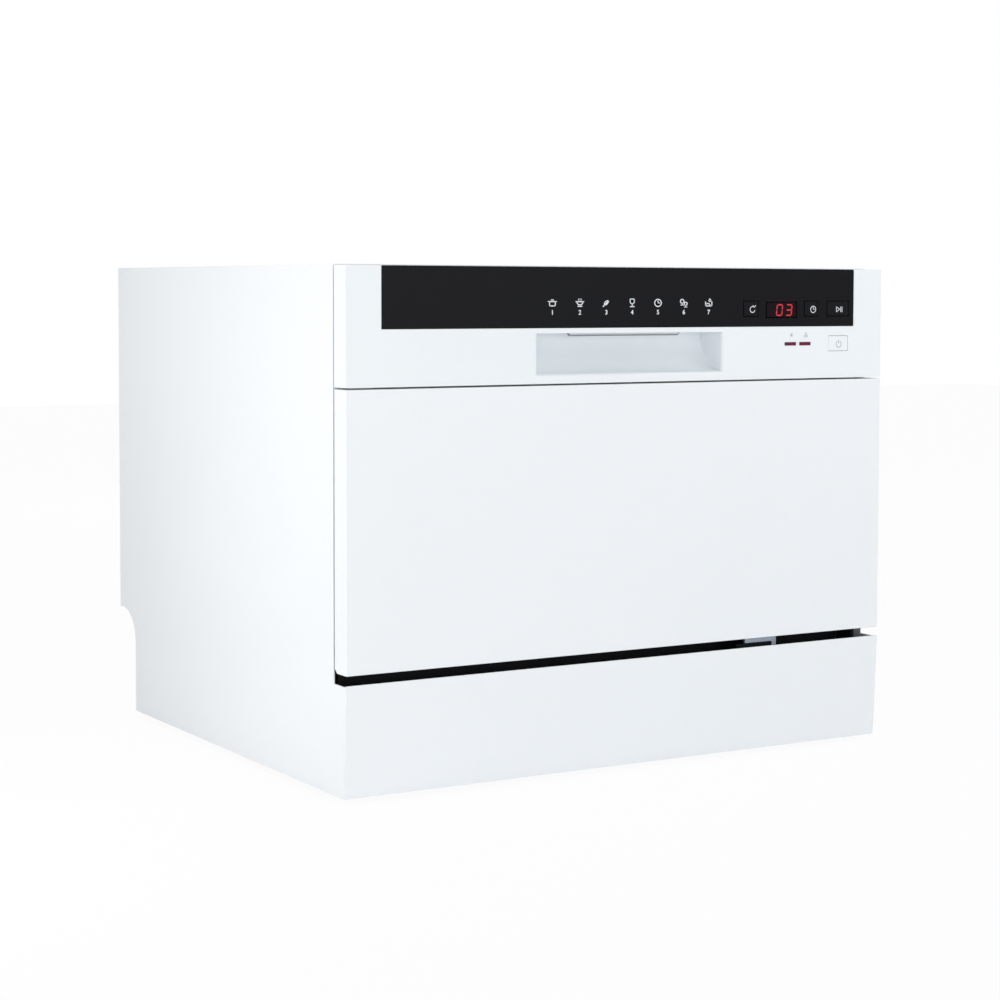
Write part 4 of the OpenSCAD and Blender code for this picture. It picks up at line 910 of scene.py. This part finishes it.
# %% Outlines of the buttons and the border of the display
def outline(name, node, width, out, y):
    """Four strokes round a part's front face, their middle line a distance out beyond its edge."""
    front_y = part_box(node)[0].y
    near = [v.co for v in nodes[node].data.vertices if v.co.y < front_y + 0.0002]
    x0, x1 = min(c.x for c in near) - out, max(c.x for c in near) + out
    z0, z1 = min(c.z for c in near) - out, max(c.z for c in near) + out
    bm = bmesh.new()
    lines(bm, [(x0, z0), (x1, z0), (x1, z1), (x0, z1), (x0, z0)], width)
    printed(name, bm, line_black, "door", (0, y, 0), unit=1)


line_black = moulded("line_black", (4, 4, 5), (2, 2, 3), 0.7, Specular_IOR_Level=0.02)
for node in ("program_button", "delay_button", "start_button"):
    outline(node + "_outline", node, 0.0006, 0.0005, STRIP_Y)
window_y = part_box("display_window")[0].y
outline("display_border", "display_window", 0.0011, -0.0006, window_y)
print("outlines of three buttons and the display's border")

# %% [markdown]
# ## The lit number
# Behind the red filter sits a display of seven bars a digit. Lit bars glow, so they are emissive,
# at a strength near 1 so that the red stays red. Each bar is a slim block whose ends are bevelled
# to points, as in every such display, and the digits lean by a few degrees.

# %% Seven bars a digit
DIGIT_W, DIGIT_H, BAR_W = 6.0, 9.4, 1.3
DIGITS_Z = 400.2
LEAN = 0.1      # a digit's top moves right by this share of its height
BARS = {     # side, height, and whether the bar stands upright
    "a": (0, 1, False), "g": (0, 0, False), "d": (0, -1, False),
    "f": (-1, 0.5, True), "b": (1, 0.5, True), "e": (-1, -0.5, True), "c": (1, -0.5, True),
}


def digit(lit, x):
    """One digit's lit bars as a mesh with its middle at x, in millimetres."""
    bm = bmesh.new()
    for key in lit:
        across, up, upright = BARS[key]
        length = (DIGIT_H / 2 if upright else DIGIT_W) - 0.35
        size = (BAR_W, INK, length) if upright else (length, INK, BAR_W)
        verts = block(bm, (across * DIGIT_W / 2, 0, up * DIGIT_H / 2), size)
        ends = [e for e in bm.edges if e.verts[0] in verts and deep(e) > INK / 2]
        rounded(bm, ends, BAR_W * 0.48, 1)
    lean = Matrix.Identity(4)
    lean[0][2] = LEAN
    bmesh.ops.transform(bm, verts=bm.verts, matrix=Matrix.Translation((x, 0, DIGITS_Z)) @ lean)
    mesh = bpy.data.meshes.new("digit")
    bm.to_mesh(mesh)
    bm.free()
    return mesh


bm = bmesh.new()
for lit, x in (("abcdef", 158.4), ("abgcd", 169.0)):
    add_mesh(bm, digit(lit, x))
printed("display_number", bm, digit_red, "door", (0, window_y, 0))
print("display shows 03")

# %% [markdown]
# ## Floor, background and light
# The photograph is a bright studio cut-out: white all round, soft light, no hard shadow. A pale
# floor throws light back at the machine. What the camera sees of it is nearly all its own white
# glow, so that it fades into the background with the faintest shadow. The background is white
# because the world's colour is white to the camera, to mirrors and through glass. The light on the
# machine is set apart from it, so that the white door keeps its shading and nothing burns out.

# %% Floor
GLOW_SHARE = 0.95      # how much of the floor's look is its glow, to the camera
FLOOR_HALF = 6         # metres from the middle of the floor to its edge

bm = bmesh.new()
bmesh.ops.create_grid(bm, x_segments=1, y_segments=1, size=FLOOR_HALF)
floor_mesh = bpy.data.meshes.new("floor")
bm.to_mesh(floor_mesh)
bm.free()
floor = bpy.data.objects.new("floor", floor_mesh)
bpy.context.scene.collection.objects.link(floor)
floor_paint = bpy.data.materials.new("floor_paint")
floor_paint.use_nodes = True
tree = floor_paint.node_tree
tree.nodes.clear()
out = tree.nodes.new("ShaderNodeOutputMaterial")
matt = tree.nodes.new("ShaderNodeBsdfDiffuse")
matt.inputs["Color"].default_value = (0.86, 0.86, 0.86, 1)
glow = tree.nodes.new("ShaderNodeEmission")
glow.inputs["Strength"].default_value = 1.0
mix = tree.nodes.new("ShaderNodeMixShader")
seen = tree.nodes.new("ShaderNodeLightPath")
share = tree.nodes.new("ShaderNodeMath")
share.operation = "MULTIPLY"
share.inputs[1].default_value = GLOW_SHARE
tree.links.new(seen.outputs["Is Camera Ray"], share.inputs[0])
tree.links.new(share.outputs["Value"], mix.inputs["Fac"])
tree.links.new(matt.outputs["BSDF"], mix.inputs[1])
tree.links.new(glow.outputs["Emission"], mix.inputs[2])
tree.links.new(mix.outputs["Shader"], out.inputs["Surface"])
floor.data.materials.append(floor_paint)
print("floor of", tuple(round(v) for v in floor.dimensions[:2]), "metres")

# %% Background
AMBIENT = 0.55         # strength of the world's light on the machine

world = bpy.data.worlds.new("studio")
bpy.context.scene.world = world
world.use_nodes = True
tree = world.node_tree
ambient = tree.nodes["Background"]
ambient.inputs["Color"].default_value = (0.97, 0.985, 1.0, 1)
ambient.inputs["Strength"].default_value = AMBIENT
backdrop = tree.nodes.new("ShaderNodeBackground")
backdrop.inputs["Color"].default_value = (1, 1, 1, 1)
mix = tree.nodes.new("ShaderNodeMixShader")
seen = tree.nodes.new("ShaderNodeLightPath")
either = tree.nodes.new("ShaderNodeMath")
either.operation = "MAXIMUM"
any_of_three = tree.nodes.new("ShaderNodeMath")
any_of_three.operation = "MAXIMUM"
tree.links.new(seen.outputs["Is Camera Ray"], either.inputs[0])
tree.links.new(seen.outputs["Is Glossy Ray"], either.inputs[1])
tree.links.new(either.outputs["Value"], any_of_three.inputs[0])
tree.links.new(seen.outputs["Is Transmission Ray"], any_of_three.inputs[1])
tree.links.new(any_of_three.outputs["Value"], mix.inputs["Fac"])
tree.links.new(ambient.outputs["Background"], mix.inputs[1])
tree.links.new(backdrop.outputs["Background"], mix.inputs[2])
tree.links.new(mix.outputs["Shader"], tree.nodes["World Output"].inputs["Surface"])
print("white background, light of strength", AMBIENT)

# %% Lamps
def soft_lamp(name, place, aim, size, power, color=(1, 1, 1)):
    """A round area lamp at a place that shines at another; size in metres, power in watts."""
    lamp = bpy.data.objects.new(name, bpy.data.lights.new(name, "AREA"))
    lamp.data.shape = "DISK"
    lamp.data.size = size
    lamp.data.energy = power
    lamp.data.color = color
    lamp.location = place
    lamp.rotation_euler = (Vector(aim) - Vector(place)).to_track_quat("-Z", "Y").to_euler()
    bpy.context.scene.collection.objects.link(lamp)


FRONT = (0, -0.25, 0.3)
soft_lamp("side_key", (-0.95, -0.24, 0.4), (-0.27, -0.15, 0.2), 0.5, 2.55, (1.0, 0.985, 0.96))
soft_lamp("left_front", (-1.5, -2.3, 0.38), FRONT, 0.8, 6)
soft_lamp("low_front", (-0.2, -3.0, 0.35), FRONT, 1.2, 15)
soft_lamp("right_front", (1.1, -1.2, 1.3), (0.15, -0.25, 0.25), 0.9, 6.2)
soft_lamp("strip_glow", (1.2, -3.2, 0.35), FRONT, 1.2, 3)
soft_lamp("back_fill", (0.7, 2.4, 1.3), (0, 0.1, 0.2), 1.6, 10)
print("six soft lamps")
